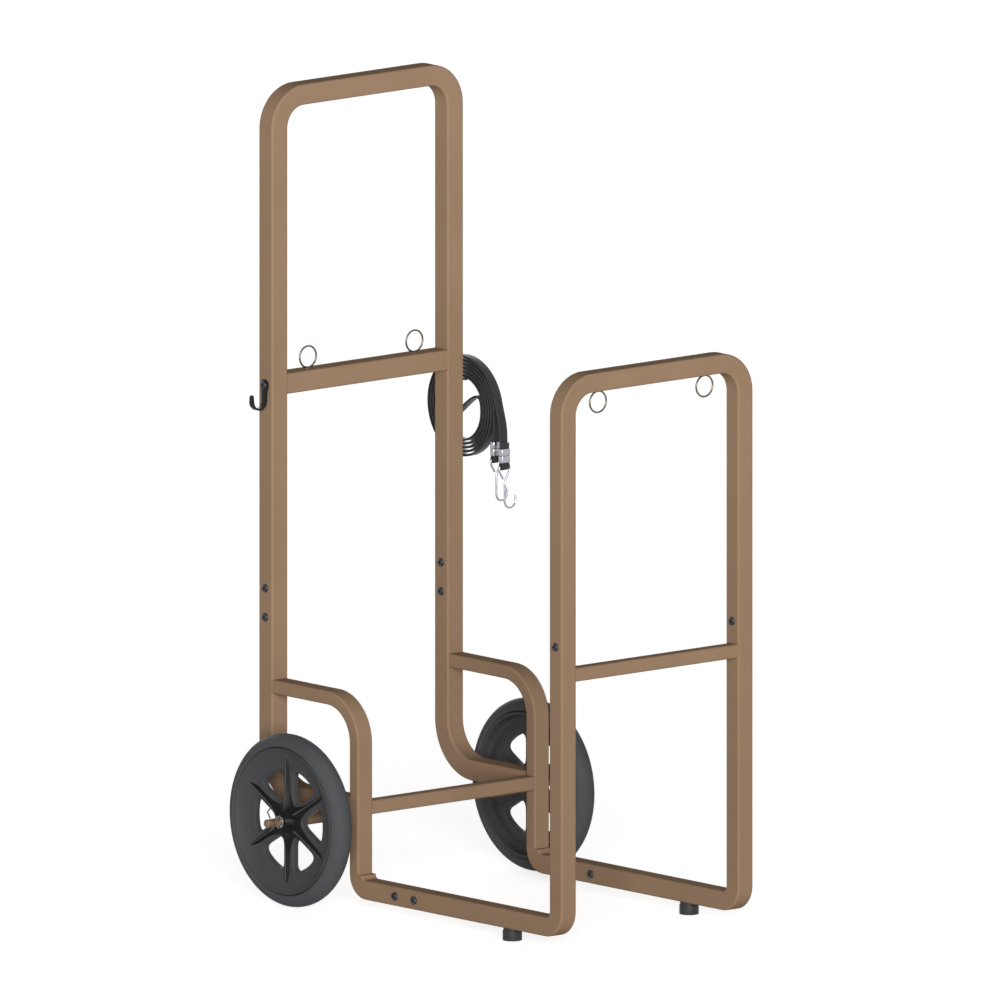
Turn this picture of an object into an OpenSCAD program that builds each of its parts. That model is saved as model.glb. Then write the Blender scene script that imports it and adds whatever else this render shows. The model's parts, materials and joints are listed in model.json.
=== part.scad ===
// Log cart: a bolted square-tube frame on two wheels and two feet.
// X runs along the axle (left is -X), Y from the front hoop (-Y) to the handle (+Y), Z up.
// The origin is on the ground, midway between the sides and between front and back.

/* [Overall] */
// Width over the frame tubes
frame_w = 360; // [300:1:420]
// Depth from the front legs' front face to the rear legs' rear face
depth = 667; // [600:1:740]
// Height of the handle's top above the ground
handle_top = 1167; // [1000:1:1250]
// Height of the front hoop's top above the ground
hoop_top = 833; // [700:1:900]

/* [Tubes] */
// Side of the rear square tube (handle, rear legs, lower rails)
rear_tube = 30; // [26:1:36]
// Side of the front square tube (front hoop, front legs, side rails)
front_tube = 28; // [24:1:34]
// Thickness of the wheel arch tube, seen from the side
arch_tube = 20; // [16:1:24]
// Side of the two light cross bars
tie_tube = 20; // [16:1:24]
// Wall of every tube
wall = 1.5; // [1:0.1:2.2]
// Outer corner radius of every tube
corner_r = 3; // [2.5:0.1:4]

/* [Bends] */
// Inner radius of the hoops' corners
hoop_bend = 31; // [20:1:60]
// Inner radius between a front leg and its rail
front_bend = 10; // [5:1:30]
// Inner radius between a rear leg and its lower rail
rear_bend = 52; // [40:1:110]
// Inner radius of the wheel arch
arch_bend = 50; // [30:1:70]
// Inner radius of the side rails' rear corner
heel_bend = 6; // [3:1:12]

/* [Bars and joints] */
// Height of the rear cross bar's centre
crossbar_z = 736; // [600:1:800]
// Height of the front mid bar's centre
midbar_z = 399; // [340:1:402]
// Height of the joint between upper and lower legs
seam_z = 420; // [418:1:500]
// Distance of the side rails' joint from the back
rail_seam = 321; // [300:1:400]
// Distance from a joint to the bolts beside it
bolt_gap = 21; // [16:1:24]
// Length of the sleeve inside each joint
sleeve_len = 84; // [70:1:90]
// Clearance around each sleeve
sleeve_gap = 0.2; // [0.1:0.05:0.4]
// Height of the wheel arch's top
arch_top = 310; // [290:1:330]
// Distance of the wheel arch's upright from the back
arch_back = 219; // [200:1:235]
// Height of the tie between the arches, at its centre
tie_z = 147; // [110:1:200]

/* [Bolts] */
// Diameter of the bolt shanks
bolt_d = 6; // [5:0.5:8]
// Diameter of the barrel nuts
barrel_d = 8; // [8:0.5:10]
// Diameter of the bolt and nut heads
head_d = 12.5; // [11:0.5:16]
// Height of the bolt and nut heads
head_h = 3.2; // [2:0.1:4]
// Width across the corners of the hex sockets
socket_d = 4.6; // [3:0.1:5.5]
// Radial clearance in the bolt holes
hole_gap = 0.2; // [0.1:0.05:0.4]
// Distance from a bolt's tip to the far face of its tube
bolt_short = 5; // [4:0.5:8]
// Distance from a nut's barrel to the middle of its tube
barrel_short = 1; // [0.5:0.1:2]
// Length of the hook bolts inside the legs
hook_bolt_in = 12; // [8:1:20]

/* [Wheels] */
// Diameter over the tyre
wheel_d = 250; // [230:1:270]
// Width of the tyre
tyre_w = 35; // [30:1:44]
// Radius of the rim where the tyre sits
rim_r = 106; // [100:0.5:107]
// Distance of the axle from the back
axle_back = 127; // [122:1:150]
// Gap between the frame and the tyre
wheel_gap = 30.5; // [20:0.5:45]
// Axle diameter
axle_d = 12; // [10:0.5:14]
// Length of axle outside the wheel's middle
axle_stub = 46; // [40:1:60]
// Radial running clearance between axle and bush
running_gap = 0.05; // [0.02:0.01:0.1]
// Diameter of the wheel hub
hub_d = 30; // [26:1:36]
// Outer diameter of the hub bush
bush_d = 18; // [16:0.5:20]
// Length of the hub inside the wheel's middle
hub_in = 18; // [16:1:22]
// Length of the hub outside the wheel's middle
hub_out = 17; // [16:1:22]
// Length of the bush outside the hub
bush_nose = 3.5; // [2:0.5:6]
// Thickness of the wheel disc
disc_t = 11.5; // [8:0.5:13]
// Width of the spokes between the openings
spoke_w = 21; // [17:1:26]
// Outer radius of the openings between the spokes
opening_r = 75; // [62:1:80]
// Rounding of the openings' corners, from where the curve starts
opening_round = 12; // [8:1:13]
// Thickness of the ribs on the spokes
rib_t = 5; // [3:0.5:7]
// Reach of the ribs beyond the openings
rib_reach = 14; // [4:1:16]
// Height of the ribs' outer ends above the disc
rib_end = 3; // [2:0.5:5]
// Diameter of the hub's cone on the disc
cone_d = 72; // [50:1:90]
// Thickness of the rim under the tyre
rim_t = 5; // [4:0.5:7]
// Washer diameter
washer_d = 20; // [18:1:26]
// Washer thickness
washer_t = 1.6; // [1:0.1:3]
// Side gap beside each washer
washer_gap = 0.3; // [0.1:0.1:0.6]
// Wire diameter of the retaining clips
clip_wire = 2.5; // [2:0.1:3]
// Diameter of the bosses that carry the axle
boss_d = 20; // [18:0.5:24]
// Height of the lower rails above the axle's centre
boss_flat = 7.5; // [7.2:0.1:8.5]

/* [Feet] */
// Foot diameter
foot_d = 28; // [22:1:28]
// Foot height, which sets the rails' height above the ground
foot_h = 18; // [14:1:30]
// Distance of the feet from the front
foot_y = 125; // [80:1:200]
// Diameter of the foot screws
screw_d = 5; // [4:0.5:6]

/* [Hooks and rings] */
// Inner diameter of the lashing rings
ring_inner = 28; // [20:1:40]
// Wire diameter of the lashing rings
ring_wire = 2.8; // [2:0.1:4]
// Distance between the rings of a pair
ring_pitch = 200; // [120:1:240]
// Strip thickness of the side hooks
hook_t = 3; // [2:0.1:4]
// Width of the hooks' plate
hook_plate_w = 16; // [14:0.5:20]
// Width of the hooks' curved strip
hook_w = 11; // [8:0.5:13]
// Inner radius of the hooks' curve
hook_r = 10.5; // [8:0.5:14]
// Drop from the hook bolt to the centre of the curve
hook_drop = 22; // [18:1:30]
// Height of the hook's tip above the centre of the curve
hook_tip = 4; // [1:0.5:12]

/* [Strap] */
// Width of the lashing strap
strap_w = 14; // [12:0.5:14]
// Thickness of the lashing strap
strap_t = 3.2; // [2:0.1:3.4]
// Distance between neighbouring strands of the coil
strap_pitch = 5.6; // [5:0.1:6.2]
// Radius of the coil's innermost strand
strap_in = 44; // [40:1:60]
// Whole turns of the coil beside the half turn that both ends share
strap_turns = 2; // [1:1:3]
// Wire diameter of the strap's hooks
strap_wire = 3.2; // [2.6:0.1:3.4]
// Height of one crimp band
crimp_h = 9.5; // [7:0.5:12]
// Length from a hook's eye to the bottom of its curve
strap_hook_len = 61; // [52:1:75]

/* [Hidden] */

$fn = 48;
eps = 0.01;
sides = [-1, 1];
wire_sides = 8;

// Colours as seen
bronze = "#96806a";
bronze_dark = "#8a7461";
black = "#2a2a2c";
tyre_grey = "#4a4a4c";
disc_grey = "#3e3e40";
rubber = "#3a3a3a";
zinc = "#b8babd";
steel = "#8d8f92";
nylon = "#d8d4c8";

// Planes and lines of the frame
front_y = -depth/2;
back_y = depth/2;
half_w = frame_w/2;
rear_leg_x = half_w - rear_tube/2;
front_leg_x = half_w - front_tube/2;
rear_leg_y = back_y - rear_tube/2;
front_leg_y = front_y + front_tube/2;
rail_z = foot_h + front_tube/2;
seam_y = back_y - rail_seam;
arch_y = back_y - arch_back + arch_tube/2;
axle_y = back_y - axle_back;
axle_z = wheel_d/2;
lower_rail_z = axle_z + boss_flat + rear_tube/2;
heel_r = heel_bend + front_tube/2;
heel_top = rail_z + heel_r;
heel_y = arch_y + arch_tube/2;
upper_bolt_z = seam_z + bolt_gap;
lower_bolt_z = seam_z - bolt_gap;

// Axle line, measured outwards from the frame's outer face
wheel_u = wheel_gap + tyre_w/2;
boss_u = wheel_u - hub_in - 2*washer_gap - washer_t;
inner_washer_u = boss_u + washer_gap;
outer_washer_u = wheel_u + hub_out + bush_nose + washer_gap;
clip_u = outer_washer_u + washer_t + washer_gap + clip_wire/2;
axle_half = half_w + wheel_u + axle_stub;

// Rounded rectangle centred on the origin
module rounded(w, h, r) {
    square([w - 2*r, h], center = true);
    square([w, h - 2*r], center = true);
    for (x = sides, y = sides)
        translate([x*(w/2 - r), y*(h/2 - r)]) circle(r = r);
}

// Sections of a tube: its outside and its hollow
module outside(w, h) { rounded(w, h, corner_r); }
module hollow(w, h) { rounded(w - 2*wall, h - 2*wall, corner_r - wall); }

// Straight length upwards, from z = 0, of the section given as child
module straight(len) { linear_extrude(len) children(); }

// Bend about the origin in the XY plane, from angle a, with centreline radius r
module bend(r, a, turn = 90) {
    rotate([0, 0, a]) rotate_extrude(angle = turn, $fn = 96) translate([r, 0]) children();
}

// Puts a shape drawn in the XY plane into the YZ plane at x
module side_plane(x) { translate([x, 0, 0]) rotate([90, 0, 90]) children(); }

// Cross hole along X at the left side, from the outer face inwards
module x_hole(y, z, d, from, len) {
    translate([from, y, z]) rotate([0, 90, 0]) cylinder(d = d, h = len);
}

// Holes for one bolt and its nut in a left-hand tube of the given size
module bolt_holes(y, z, tube) {
    x_hole(y, z, bolt_d + 2*hole_gap, -half_w - eps, tube/2);
    x_hole(y, z, barrel_d + 2*hole_gap, -half_w + tube/2 - eps, tube/2 + 2*eps);
}

// Bolt positions of the left side, each [y, z, tube]
bolt_places = [
    [rear_leg_y, upper_bolt_z, rear_tube],
    [rear_leg_y, lower_bolt_z, rear_tube],
    [front_leg_y, upper_bolt_z, front_tube],
    [seam_y - bolt_gap, rail_z, front_tube],
    [seam_y + bolt_gap, rail_z, front_tube]
];

// Both sides: the left-hand shape and its mirror image
module both_sides() {
    children();
    mirror([1, 0, 0]) children();
}

// ---- Wire and strap ----

function unit(v) = v/norm(v);

// Path with each inner corner replaced by a short curve that starts t before it
function softened(p, t) = concat(
    [p[0]],
    [for (i = [1 : len(p) - 2], s = [0 : 0.25 : 1])
        let (a = p[i] + t*unit(p[i - 1] - p[i]), b = p[i] + t*unit(p[i + 1] - p[i]))
        (1 - s)*(1 - s)*a + 2*s*(1 - s)*p[i] + s*s*b],
    [p[len(p) - 1]]
);

// Circle of the given diameter as points across a path
function round_section(d, sides) = [for (k = [0 : sides - 1]) d/2*[cos(k*360/sides), sin(k*360/sides)]];

// Tube of one section through the points of a path that never runs along the direction up,
// to which the section's second axis stays parallel
module swept(p, section, up) {
    n = len(p);
    m = len(section);
    rings = [for (i = [0 : n - 1])
        let (t = unit(p[min(i + 1, n - 1)] - p[max(i - 1, 0)]), b = unit(cross(t, up)), u = cross(b, t))
        each [for (q = section) p[i] + q[0]*b + q[1]*u]];
    walls = [for (i = [0 : n - 2], k = [0 : m - 1])
        let (a = i*m + k, b = i*m + (k + 1) % m)
        each [[a, b, b + m], [a, b + m, a + m]]];
    caps = [for (k = [1 : m - 2])
        each [[0, k + 1, k], [(n - 1)*m, (n - 1)*m + k, (n - 1)*m + k + 1]]];
    polyhedron(rings, concat(walls, caps), convexity = 4);
}

// ---- Hoops ----

// Inverted U in the XZ plane: the section runs up, over and down
module hoop_run(top, bottom, tube, inner_r) {
    r = inner_r + tube/2;
    leg_x = half_w - tube/2;
    for (s = sides) translate([s*leg_x, 0, bottom]) straight(top - tube/2 - r - bottom) children();
    for (s = [0, 1]) mirror([s, 0, 0])
        translate([leg_x - r, 0, top - tube/2 - r]) rotate([90, 0, 0]) bend(r, 0) children();
    translate([-(leg_x - r), 0, top - tube/2]) rotate([0, 90, 0]) straight(2*(leg_x - r)) children();
}

module hoop(top, tube, inner_r) {
    difference() {
        hoop_run(top, seam_z, tube, inner_r) outside(tube, tube);
        hoop_run(top, seam_z - eps, tube, inner_r) hollow(tube, tube);
    }
}

module handle_hoop() {
    color(bronze) difference() {
        translate([0, rear_leg_y, 0]) hoop(handle_top, rear_tube, hoop_bend);
        both_sides() {
            bolt_holes(rear_leg_y, upper_bolt_z, rear_tube);
            x_hole(rear_leg_y, crossbar_z, bolt_d + 2*hole_gap, -half_w - eps, wall + 2*eps);
        }
    }
}

module front_hoop() {
    color(bronze) difference() {
        translate([0, front_leg_y, 0]) hoop(hoop_top, front_tube, hoop_bend);
        both_sides() bolt_holes(front_leg_y, upper_bolt_z, front_tube);
    }
}

// ---- Cross bars ----

// Hollow bar along X, centred at y and z
module cross_tube(len, tube, y, z) {
    translate([-len/2, y, z]) rotate([0, 90, 0]) difference() {
        straight(len) outside(tube, tube);
        translate([0, 0, -eps]) straight(len + 2*eps) hollow(tube, tube);
    }
}

module rear_crossbar() {
    color(bronze) cross_tube(frame_w - 2*rear_tube, rear_tube, rear_leg_y, crossbar_z);
}

module front_midbar() {
    color(bronze) cross_tube(frame_w - 2*front_tube, tie_tube, front_y + tie_tube/2, midbar_z);
}

module arch_tie() {
    color(bronze_dark) cross_tube(frame_w - 2*front_tube, tie_tube, arch_y, tie_z);
}

// ---- Side frames, left-hand shapes ----

// Front leg down, round the corner and back along the rail
module front_run(extra) {
    r = front_bend + front_tube/2;
    z = rail_z + r;
    y = front_leg_y + r;
    translate([-front_leg_x, front_leg_y, z]) straight(seam_z - z + extra) children();
    side_plane(-front_leg_x) translate([y, z]) bend(r, 180) children();
    translate([-front_leg_x, y, rail_z]) rotate([-90, 0, 0]) straight(seam_y - y + extra) children();
}

module front_frame() {
    difference() {
        front_run(0) outside(front_tube, front_tube);
        front_run(eps) hollow(front_tube, front_tube);
        bolt_holes(seam_y - bolt_gap, rail_z, front_tube);
        translate([-front_leg_x, front_y + foot_y, foot_h - eps])
            cylinder(d = screw_d + 2*hole_gap, h = wall + 2*eps);
    }
}

// Rear half of the side rail, turned up at its rear corner
module rail_run(extra) {
    y = heel_y - front_tube/2 - heel_r;
    translate([-front_leg_x, seam_y - extra, rail_z]) rotate([-90, 0, 0])
        straight(y - seam_y + extra) children();
    side_plane(-front_leg_x) translate([y, rail_z + heel_r]) bend(heel_r, 270) children();
}

module rear_rail() {
    difference() {
        rail_run(0) outside(front_tube, front_tube);
        difference() {
            rail_run(eps) hollow(front_tube, front_tube);
            translate([-half_w, seam_y, heel_top - wall]) cube([front_tube, depth, wall + eps]);
        }
        bolt_holes(seam_y + bolt_gap, rail_z, front_tube);
    }
}

// Wheel arch: forward from the rear leg, over the bend and down to the rail
module arch_run(extra) {
    r = arch_bend + arch_tube/2;
    z = arch_top - arch_tube/2 - r;
    y = arch_y + r;
    back = back_y - rear_tube;
    translate([-front_leg_x, arch_y, heel_top - extra]) straight(z - heel_top + extra) children();
    side_plane(-front_leg_x) translate([y, z]) bend(r, 90) rotate(90) children();
    translate([-front_leg_x, y, z + r]) rotate([-90, 0, 0]) straight(back - y + extra) children();
}

module arch() {
    difference() {
        arch_run(0) outside(front_tube, arch_tube);
        arch_run(eps) hollow(front_tube, arch_tube);
    }
}

// Rear leg down, round the bend and forward to the arch as the lower rail
module rear_run(extra) {
    r = rear_bend + rear_tube/2;
    z = lower_rail_z + r;
    y = rear_leg_y - r;
    front = arch_y + arch_tube/2;
    translate([-rear_leg_x, rear_leg_y, z]) straight(seam_z - z + extra) children();
    side_plane(-rear_leg_x) translate([y, z]) bend(r, 270) children();
    translate([-rear_leg_x, front - extra, lower_rail_z]) rotate([-90, 0, 0])
        straight(y - front + extra) children();
}

module rear_leg() {
    difference() {
        rear_run(0) outside(rear_tube, rear_tube);
        rear_run(eps) hollow(rear_tube, rear_tube);
        bolt_holes(rear_leg_y, lower_bolt_z, rear_tube);
    }
}

module left_front_frame() { color(bronze) front_frame(); }
module right_front_frame() { color(bronze) mirror([1, 0, 0]) front_frame(); }
module left_rear_rail() { color(bronze_dark) rear_rail(); }
module right_rear_rail() { color(bronze_dark) mirror([1, 0, 0]) rear_rail(); }
module left_arch() { color(bronze) arch(); }
module right_arch() { color(bronze) mirror([1, 0, 0]) arch(); }
module left_rear_leg() { color(bronze_dark) rear_leg(); }
module right_rear_leg() { color(bronze_dark) mirror([1, 0, 0]) rear_leg(); }

// ---- Joints ----

// Sleeve that fits the hollow of a square tube, centred on the origin along Z
module sleeve(tube) {
    side = tube - 2*wall - 2*sleeve_gap;
    translate([0, 0, -sleeve_len/2]) difference() {
        straight(sleeve_len) rounded(side, side, corner_r - wall);
        translate([0, 0, -eps]) straight(sleeve_len + 2*eps)
            square(side - 2*wall, center = true);
    }
}

module leg_sleeves() {
    color(steel) both_sides() difference() {
        union() {
            translate([-rear_leg_x, rear_leg_y, seam_z]) sleeve(rear_tube);
            translate([-front_leg_x, front_leg_y, seam_z]) sleeve(front_tube);
        }
        for (b = [0, 1, 2])
            bolt_holes(bolt_places[b][0], bolt_places[b][1], bolt_places[b][2]);
    }
}

module rail_sleeves() {
    color(steel) both_sides() difference() {
        translate([-front_leg_x, seam_y, rail_z]) rotate([90, 0, 0]) sleeve(front_tube);
        for (b = [3, 4])
            bolt_holes(bolt_places[b][0], bolt_places[b][1], bolt_places[b][2]);
    }
}

// Shares of a head's height and width: its straight rim, its flat top and its socket's floor
head_rim = 0.3*head_h;
head_flat_d = 0.62*head_d;
socket_floor = 0.35*head_h;
head_root = 0.2*head_h;

// Domed round head with a hex socket, standing on z = 0
module head() {
    difference() {
        union() {
            cylinder(d = head_d, h = head_rim);
            translate([0, 0, head_rim]) cylinder(d1 = head_d, d2 = head_flat_d, h = head_h - head_rim);
        }
        translate([0, 0, socket_floor]) cylinder(d = socket_d, h = head_h, $fn = 6);
    }
}

// Left-hand bolt, its head on the outer face and its shank inwards
module side_bolt(y, z, x, shank) {
    translate([x, y, z]) rotate([0, -90, 0]) {
        head();
        translate([0, 0, -shank]) cylinder(d = bolt_d, h = shank + head_root);
    }
}

// Solid end of a nut's barrel, at its head
barrel_floor = 1;

// Left-hand barrel nut, its head on the inner face and its barrel outwards
module side_nut(y, z, tube) {
    barrel = tube/2 - barrel_short;
    translate([-half_w + tube, y, z]) rotate([0, 90, 0]) {
        head();
        difference() {
            translate([0, 0, -barrel]) cylinder(d = barrel_d, h = barrel + head_root);
            translate([0, 0, -barrel - eps]) cylinder(d = bolt_d + 2*hole_gap, h = barrel - barrel_floor);
        }
    }
}

module frame_bolts() {
    color(black) both_sides()
        for (b = bolt_places) side_bolt(b[0], b[1], -half_w, b[2] - bolt_short);
}

module frame_nuts() {
    color(black) both_sides()
        for (b = bolt_places) side_nut(b[0], b[1], b[2]);
}

// ---- Axle ----

module axle_boss() {
    len = rear_tube + boss_u;
    translate([-half_w - boss_u, axle_y, axle_z]) rotate([0, 90, 0]) difference() {
        cylinder(d = boss_d, h = len);
        translate([0, 0, -eps]) cylinder(d = axle_d + 2*running_gap, h = len + 2*eps);
        translate([-boss_d - boss_flat, -boss_d, boss_u]) cube([boss_d, 2*boss_d, rear_tube + eps]);
    }
}

module left_axle_boss() { color(bronze_dark) axle_boss(); }
module right_axle_boss() { color(bronze_dark) mirror([1, 0, 0]) axle_boss(); }

module axle() {
    color(bronze_dark) difference() {
        translate([-axle_half, axle_y, axle_z]) rotate([0, 90, 0])
            cylinder(d = axle_d, h = 2*axle_half);
        both_sides() translate([-half_w - clip_u, axle_y, axle_z - axle_d])
            cylinder(d = clip_wire + 2*hole_gap, h = 2*axle_d);
    }
}

// Places a left wheel part: its own z axis points outwards, its x axis up
module at_wheel(u) {
    translate([-half_w - u, axle_y, axle_z]) rotate([0, -90, 0]) children();
}

module washer() {
    difference() {
        cylinder(d = washer_d, h = washer_t);
        translate([0, 0, -eps]) cylinder(d = axle_d + 2*hole_gap, h = washer_t + 2*eps);
    }
}

module inner_washers() { color(zinc) both_sides() at_wheel(inner_washer_u) washer(); }
module outer_washers() { color(zinc) both_sides() at_wheel(outer_washer_u) washer(); }

// Bent-wire clip: a leg through the axle and a loop that rests on it, [outwards, up]
clip_tail = 3.5;
clip_bend = 2.5;
clip_rest = clip_wire/2 + 0.2;
clip_loop = [[0, -axle_d - clip_tail], [0, 2], [9, 17], [17, 10], [11, clip_rest]];

module clip() {
    translate([-half_w - clip_u, axle_y, axle_z]) mirror([1, 0, 0])
        swept(softened([for (q = clip_loop) [q[0], 0, axle_d/2 + q[1]]], clip_bend),
            round_section(clip_wire, wire_sides), [0, 1, 0]);
}

module left_clip() { color(zinc) clip(); }
module right_clip() { color(zinc) mirror([1, 0, 0]) clip(); }

// ---- Wheels ----
spokes = 6;
disc_in = -6;
disc_out = disc_in + disc_t;
web_r = opening_r + 2;
lip_r = rim_r - 2;
hub_edge = 2.5;
tyre_gap = 0.3;
rim_half = sqrt(pow(tyre_w/2, 2) - pow(wheel_d/2 - tyre_w/2 - rim_r, 2)) - tyre_gap;

// Hollow dish between the web and the rim's lip: shares of its width and rise, from the lip inwards
dish_curve = [[0.88, 0.75], [0.72, 0.5], [0.5, 0.24], [0.25, 0.07]];
dish = [for (c = dish_curve) [web_r + c[0]*(lip_r - web_r), disc_out + c[1]*(rim_half - disc_out)]];

// Opening between two spokes, about the x axis: two sides along the spokes and a bowed outer side
inner_corner = [spoke_w/2/sin(180/spokes), 0];
side_way = [cos(180/spokes), sin(180/spokes)];
side_lead = inner_corner*side_way;
side_len = sqrt(pow(opening_r, 2) - inner_corner*inner_corner + pow(side_lead, 2)) - side_lead;
upper_corner = inner_corner + side_len*side_way;
lower_corner = [upper_corner[0], -upper_corner[1]];
outer_middle = [opening_r, 0];
lower_side = (inner_corner + lower_corner)/2;
corner_start = min(opening_round, 0.45*norm(outer_middle - upper_corner));
opening_outline = softened(
    [lower_side, lower_corner, outer_middle, upper_corner, inner_corner, lower_side], corner_start);

// Thin rib on a spoke, highest at the hub: shares of its reach and height between its two ends
rib_curve = [[0.5, 0.15], [0.3, 0.55]];

module rib() {
    root = bush_d/2 + 2;
    reach = opening_r + rib_reach;
    low = disc_out + rib_end;
    rotate([90, 0, 0]) translate([0, 0, -rib_t/2]) linear_extrude(rib_t) polygon(concat(
        [[root, 1], [reach, 1], [reach, low]],
        [for (c = rib_curve) [c[0]*reach, low + c[1]*(hub_out - low)]],
        [[root + 2, hub_out], [root, hub_out]]
    ));
}

// Web, rim and hub cone, cut through between the spokes
module disc() {
    difference() {
        union() {
            rotate_extrude($fn = 96) polygon(concat(
                [[bush_d/2, disc_in], [web_r, disc_in], [rim_r - rim_t - 3, disc_in + 5]],
                [[rim_r - rim_t, -rim_half], [rim_r, -rim_half], [rim_r, rim_half], [lip_r, rim_half]],
                dish,
                [[web_r, disc_out], [bush_d/2, disc_out]]
            ));
            translate([0, 0, disc_out - eps])
                cylinder(d1 = cone_d, d2 = hub_d - 3, h = hub_out - disc_out - 2);
        }
        for (i = [0 : spokes - 1]) rotate(i*360/spokes + 180/spokes)
            translate([0, 0, -tyre_w]) linear_extrude(2*tyre_w) polygon(opening_outline);
    }
    for (i = [0 : spokes - 1]) rotate(i*360/spokes) rib();
}

module wheel() {
    difference() {
        union() {
            disc();
            translate([0, 0, -hub_in]) cylinder(d = hub_d, h = hub_in + hub_out - 1);
            translate([0, 0, -hub_in]) cylinder(d = hub_d - 2*hub_edge, h = hub_in + hub_out);
        }
        translate([0, 0, -hub_in - eps]) cylinder(d = bush_d, h = hub_in + hub_out + 2*eps);
    }
}

module left_wheel() { color(disc_grey) at_wheel(wheel_u) wheel(); }
module right_wheel() { color(disc_grey) mirror([1, 0, 0]) at_wheel(wheel_u) wheel(); }

module tyre() {
    rotate_extrude($fn = 96) difference() {
        translate([wheel_d/2 - tyre_w/2, 0]) circle(d = tyre_w);
        translate([0, -tyre_w]) square([rim_r, 2*tyre_w]);
    }
}

module left_tyre() { color(tyre_grey) at_wheel(wheel_u) tyre(); }
module right_tyre() { color(tyre_grey) mirror([1, 0, 0]) at_wheel(wheel_u) tyre(); }

bush_step = 1;

module bush() {
    len = hub_in + hub_out;
    translate([0, 0, -hub_in]) difference() {
        union() {
            cylinder(d = bush_d, h = len);
            cylinder(d = bush_d - 2*bush_step, h = len + bush_nose);
        }
        translate([0, 0, -eps]) cylinder(d = axle_d + 2*running_gap, h = len + bush_nose + 2*eps);
    }
}

module left_bush() { color(nylon) at_wheel(wheel_u) bush(); }
module right_bush() { color(nylon) mirror([1, 0, 0]) at_wheel(wheel_u) bush(); }

// ---- Feet ----
screw_head_d = 2*screw_d;
screw_head_h = 3;
screw_up = 5;
recess_h = 6;
recess_gap = 1.5;
foot_chamfer = 1.5;
neck_h = 4;
neck_in = 1;

module foot() {
    translate([-front_leg_x, front_y + foot_y, 0]) difference() {
        rotate_extrude() polygon([
            [0, 0], [foot_d/2 - foot_chamfer, 0], [foot_d/2, foot_chamfer],
            [foot_d/2, foot_h - neck_h - neck_in], [foot_d/2 - neck_in, foot_h - neck_h],
            [foot_d/2 - neck_in, foot_h], [0, foot_h]
        ]);
        translate([0, 0, -eps]) cylinder(d = screw_head_d + 2*recess_gap, h = recess_h);
        cylinder(d = screw_d + 2*hole_gap, h = foot_h + eps);
    }
}

module left_foot() { color(rubber) foot(); }
module right_foot() { color(rubber) mirror([1, 0, 0]) foot(); }

module foot_screws() {
    color(zinc) both_sides() translate([-front_leg_x, front_y + foot_y, recess_h - screw_head_h]) {
        cylinder(d = screw_head_d, h = screw_head_h - eps);
        cylinder(d = screw_d, h = foot_h - recess_h + screw_head_h + wall + screw_up);
    }
}

// ---- Side hooks and rings ----

// Left side hook: a plate on the leg, a strip down and a curve outwards
module side_hook() {
    curve_r = hook_r + hook_t/2;
    plate_r = hook_plate_w/2;
    translate([-half_w, rear_leg_y, crossbar_z]) {
        difference() {
            union() {
                rotate([0, -90, 0]) cylinder(r = plate_r, h = hook_t);
                rotate([0, -90, 0]) linear_extrude(hook_t)
                    polygon([[0, -plate_r], [0, plate_r], [-hook_drop, hook_w/2], [-hook_drop, -hook_w/2]]);
            }
            rotate([0, -90, 0]) translate([0, 0, -eps])
                cylinder(d = bolt_d + 2*hole_gap, h = hook_t + 2*eps);
        }
        translate([-hook_t/2 - curve_r, 0, -hook_drop]) {
            rotate([90, 0, 0]) rotate([0, 0, 180]) rotate_extrude(angle = 180)
                translate([curve_r, 0]) square([hook_t, hook_w], center = true);
            translate([-curve_r - hook_t/2, -hook_w/2, 0]) cube([hook_t, hook_w, hook_tip]);
            translate([-curve_r - hook_t/2, 0, hook_tip]) rotate([0, 90, 0]) cylinder(d = hook_w, h = hook_t);
        }
    }
}

module left_side_hook() { color(black) side_hook(); }
module right_side_hook() { color(black) mirror([1, 0, 0]) side_hook(); }

module hook_bolts() {
    color(black) both_sides() side_bolt(rear_leg_y, crossbar_z, -half_w - hook_t, hook_t + hook_bolt_in);
}

// Gap between a ring and its bar, which the weld bead fills
ring_seat = 0.2;

// Ring in the XZ plane with a small weld bead; up is 1 above its bar, -1 below
module ring(x, y, z, up) {
    r = (ring_inner + ring_wire)/2;
    translate([x, y, z]) scale([1, 1, up]) {
        translate([0, 0, r + ring_wire/2 + ring_seat]) rotate([90, 0, 0])
            rotate_extrude() translate([r, 0]) circle(d = ring_wire, $fn = 24);
        cylinder(d = 2*ring_wire, h = ring_seat + ring_wire/2);
    }
}

module rear_rings() {
    color(steel) for (s = sides) ring(s*ring_pitch/2, rear_leg_y, crossbar_z + rear_tube/2, 1);
}

module front_rings() {
    color(steel) for (s = sides) ring(s*ring_pitch/2, front_leg_y, hoop_top - front_tube, -1);
}

// ---- Lashing strap, coiled and hung in the right side hook ----
// Its route lies in a plane across X: [y, z] from the middle of the coil.

coil_step = 15;
end_drop = 40;
end_stagger = 8;
end_splay = 12;
end_straight = 14;
heart_pull = 70;
arm_a_end = 180 + 360*strap_turns;
arm_b_end = arm_a_end + 180 - coil_step;

// Flat band as points across its route
strap_section = [
    [strap_t/2, strap_t/2 - strap_w/2], [strap_t/2, strap_w/2 - strap_t/2], [0, strap_w/2],
    [-strap_t/2, strap_w/2 - strap_t/2], [-strap_t/2, strap_t/2 - strap_w/2], [0, -strap_w/2]
];

// Two interleaved arms wind outwards from the middle; the second starts half a turn on
function coil_r(a) = strap_in + 2*strap_pitch*a/360;
function arm(from, to, by, phase) = [for (a = [from : by : to]) coil_r(a)*[cos(a + phase), sin(a + phase)]];
function bezier(a, b, c, d, steps) = [for (i = [1 : steps - 1]) let (s = i/steps)
    pow(1 - s, 3)*a + 3*s*pow(1 - s, 2)*b + 3*s*s*(1 - s)*c + pow(s, 3)*d];

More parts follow.
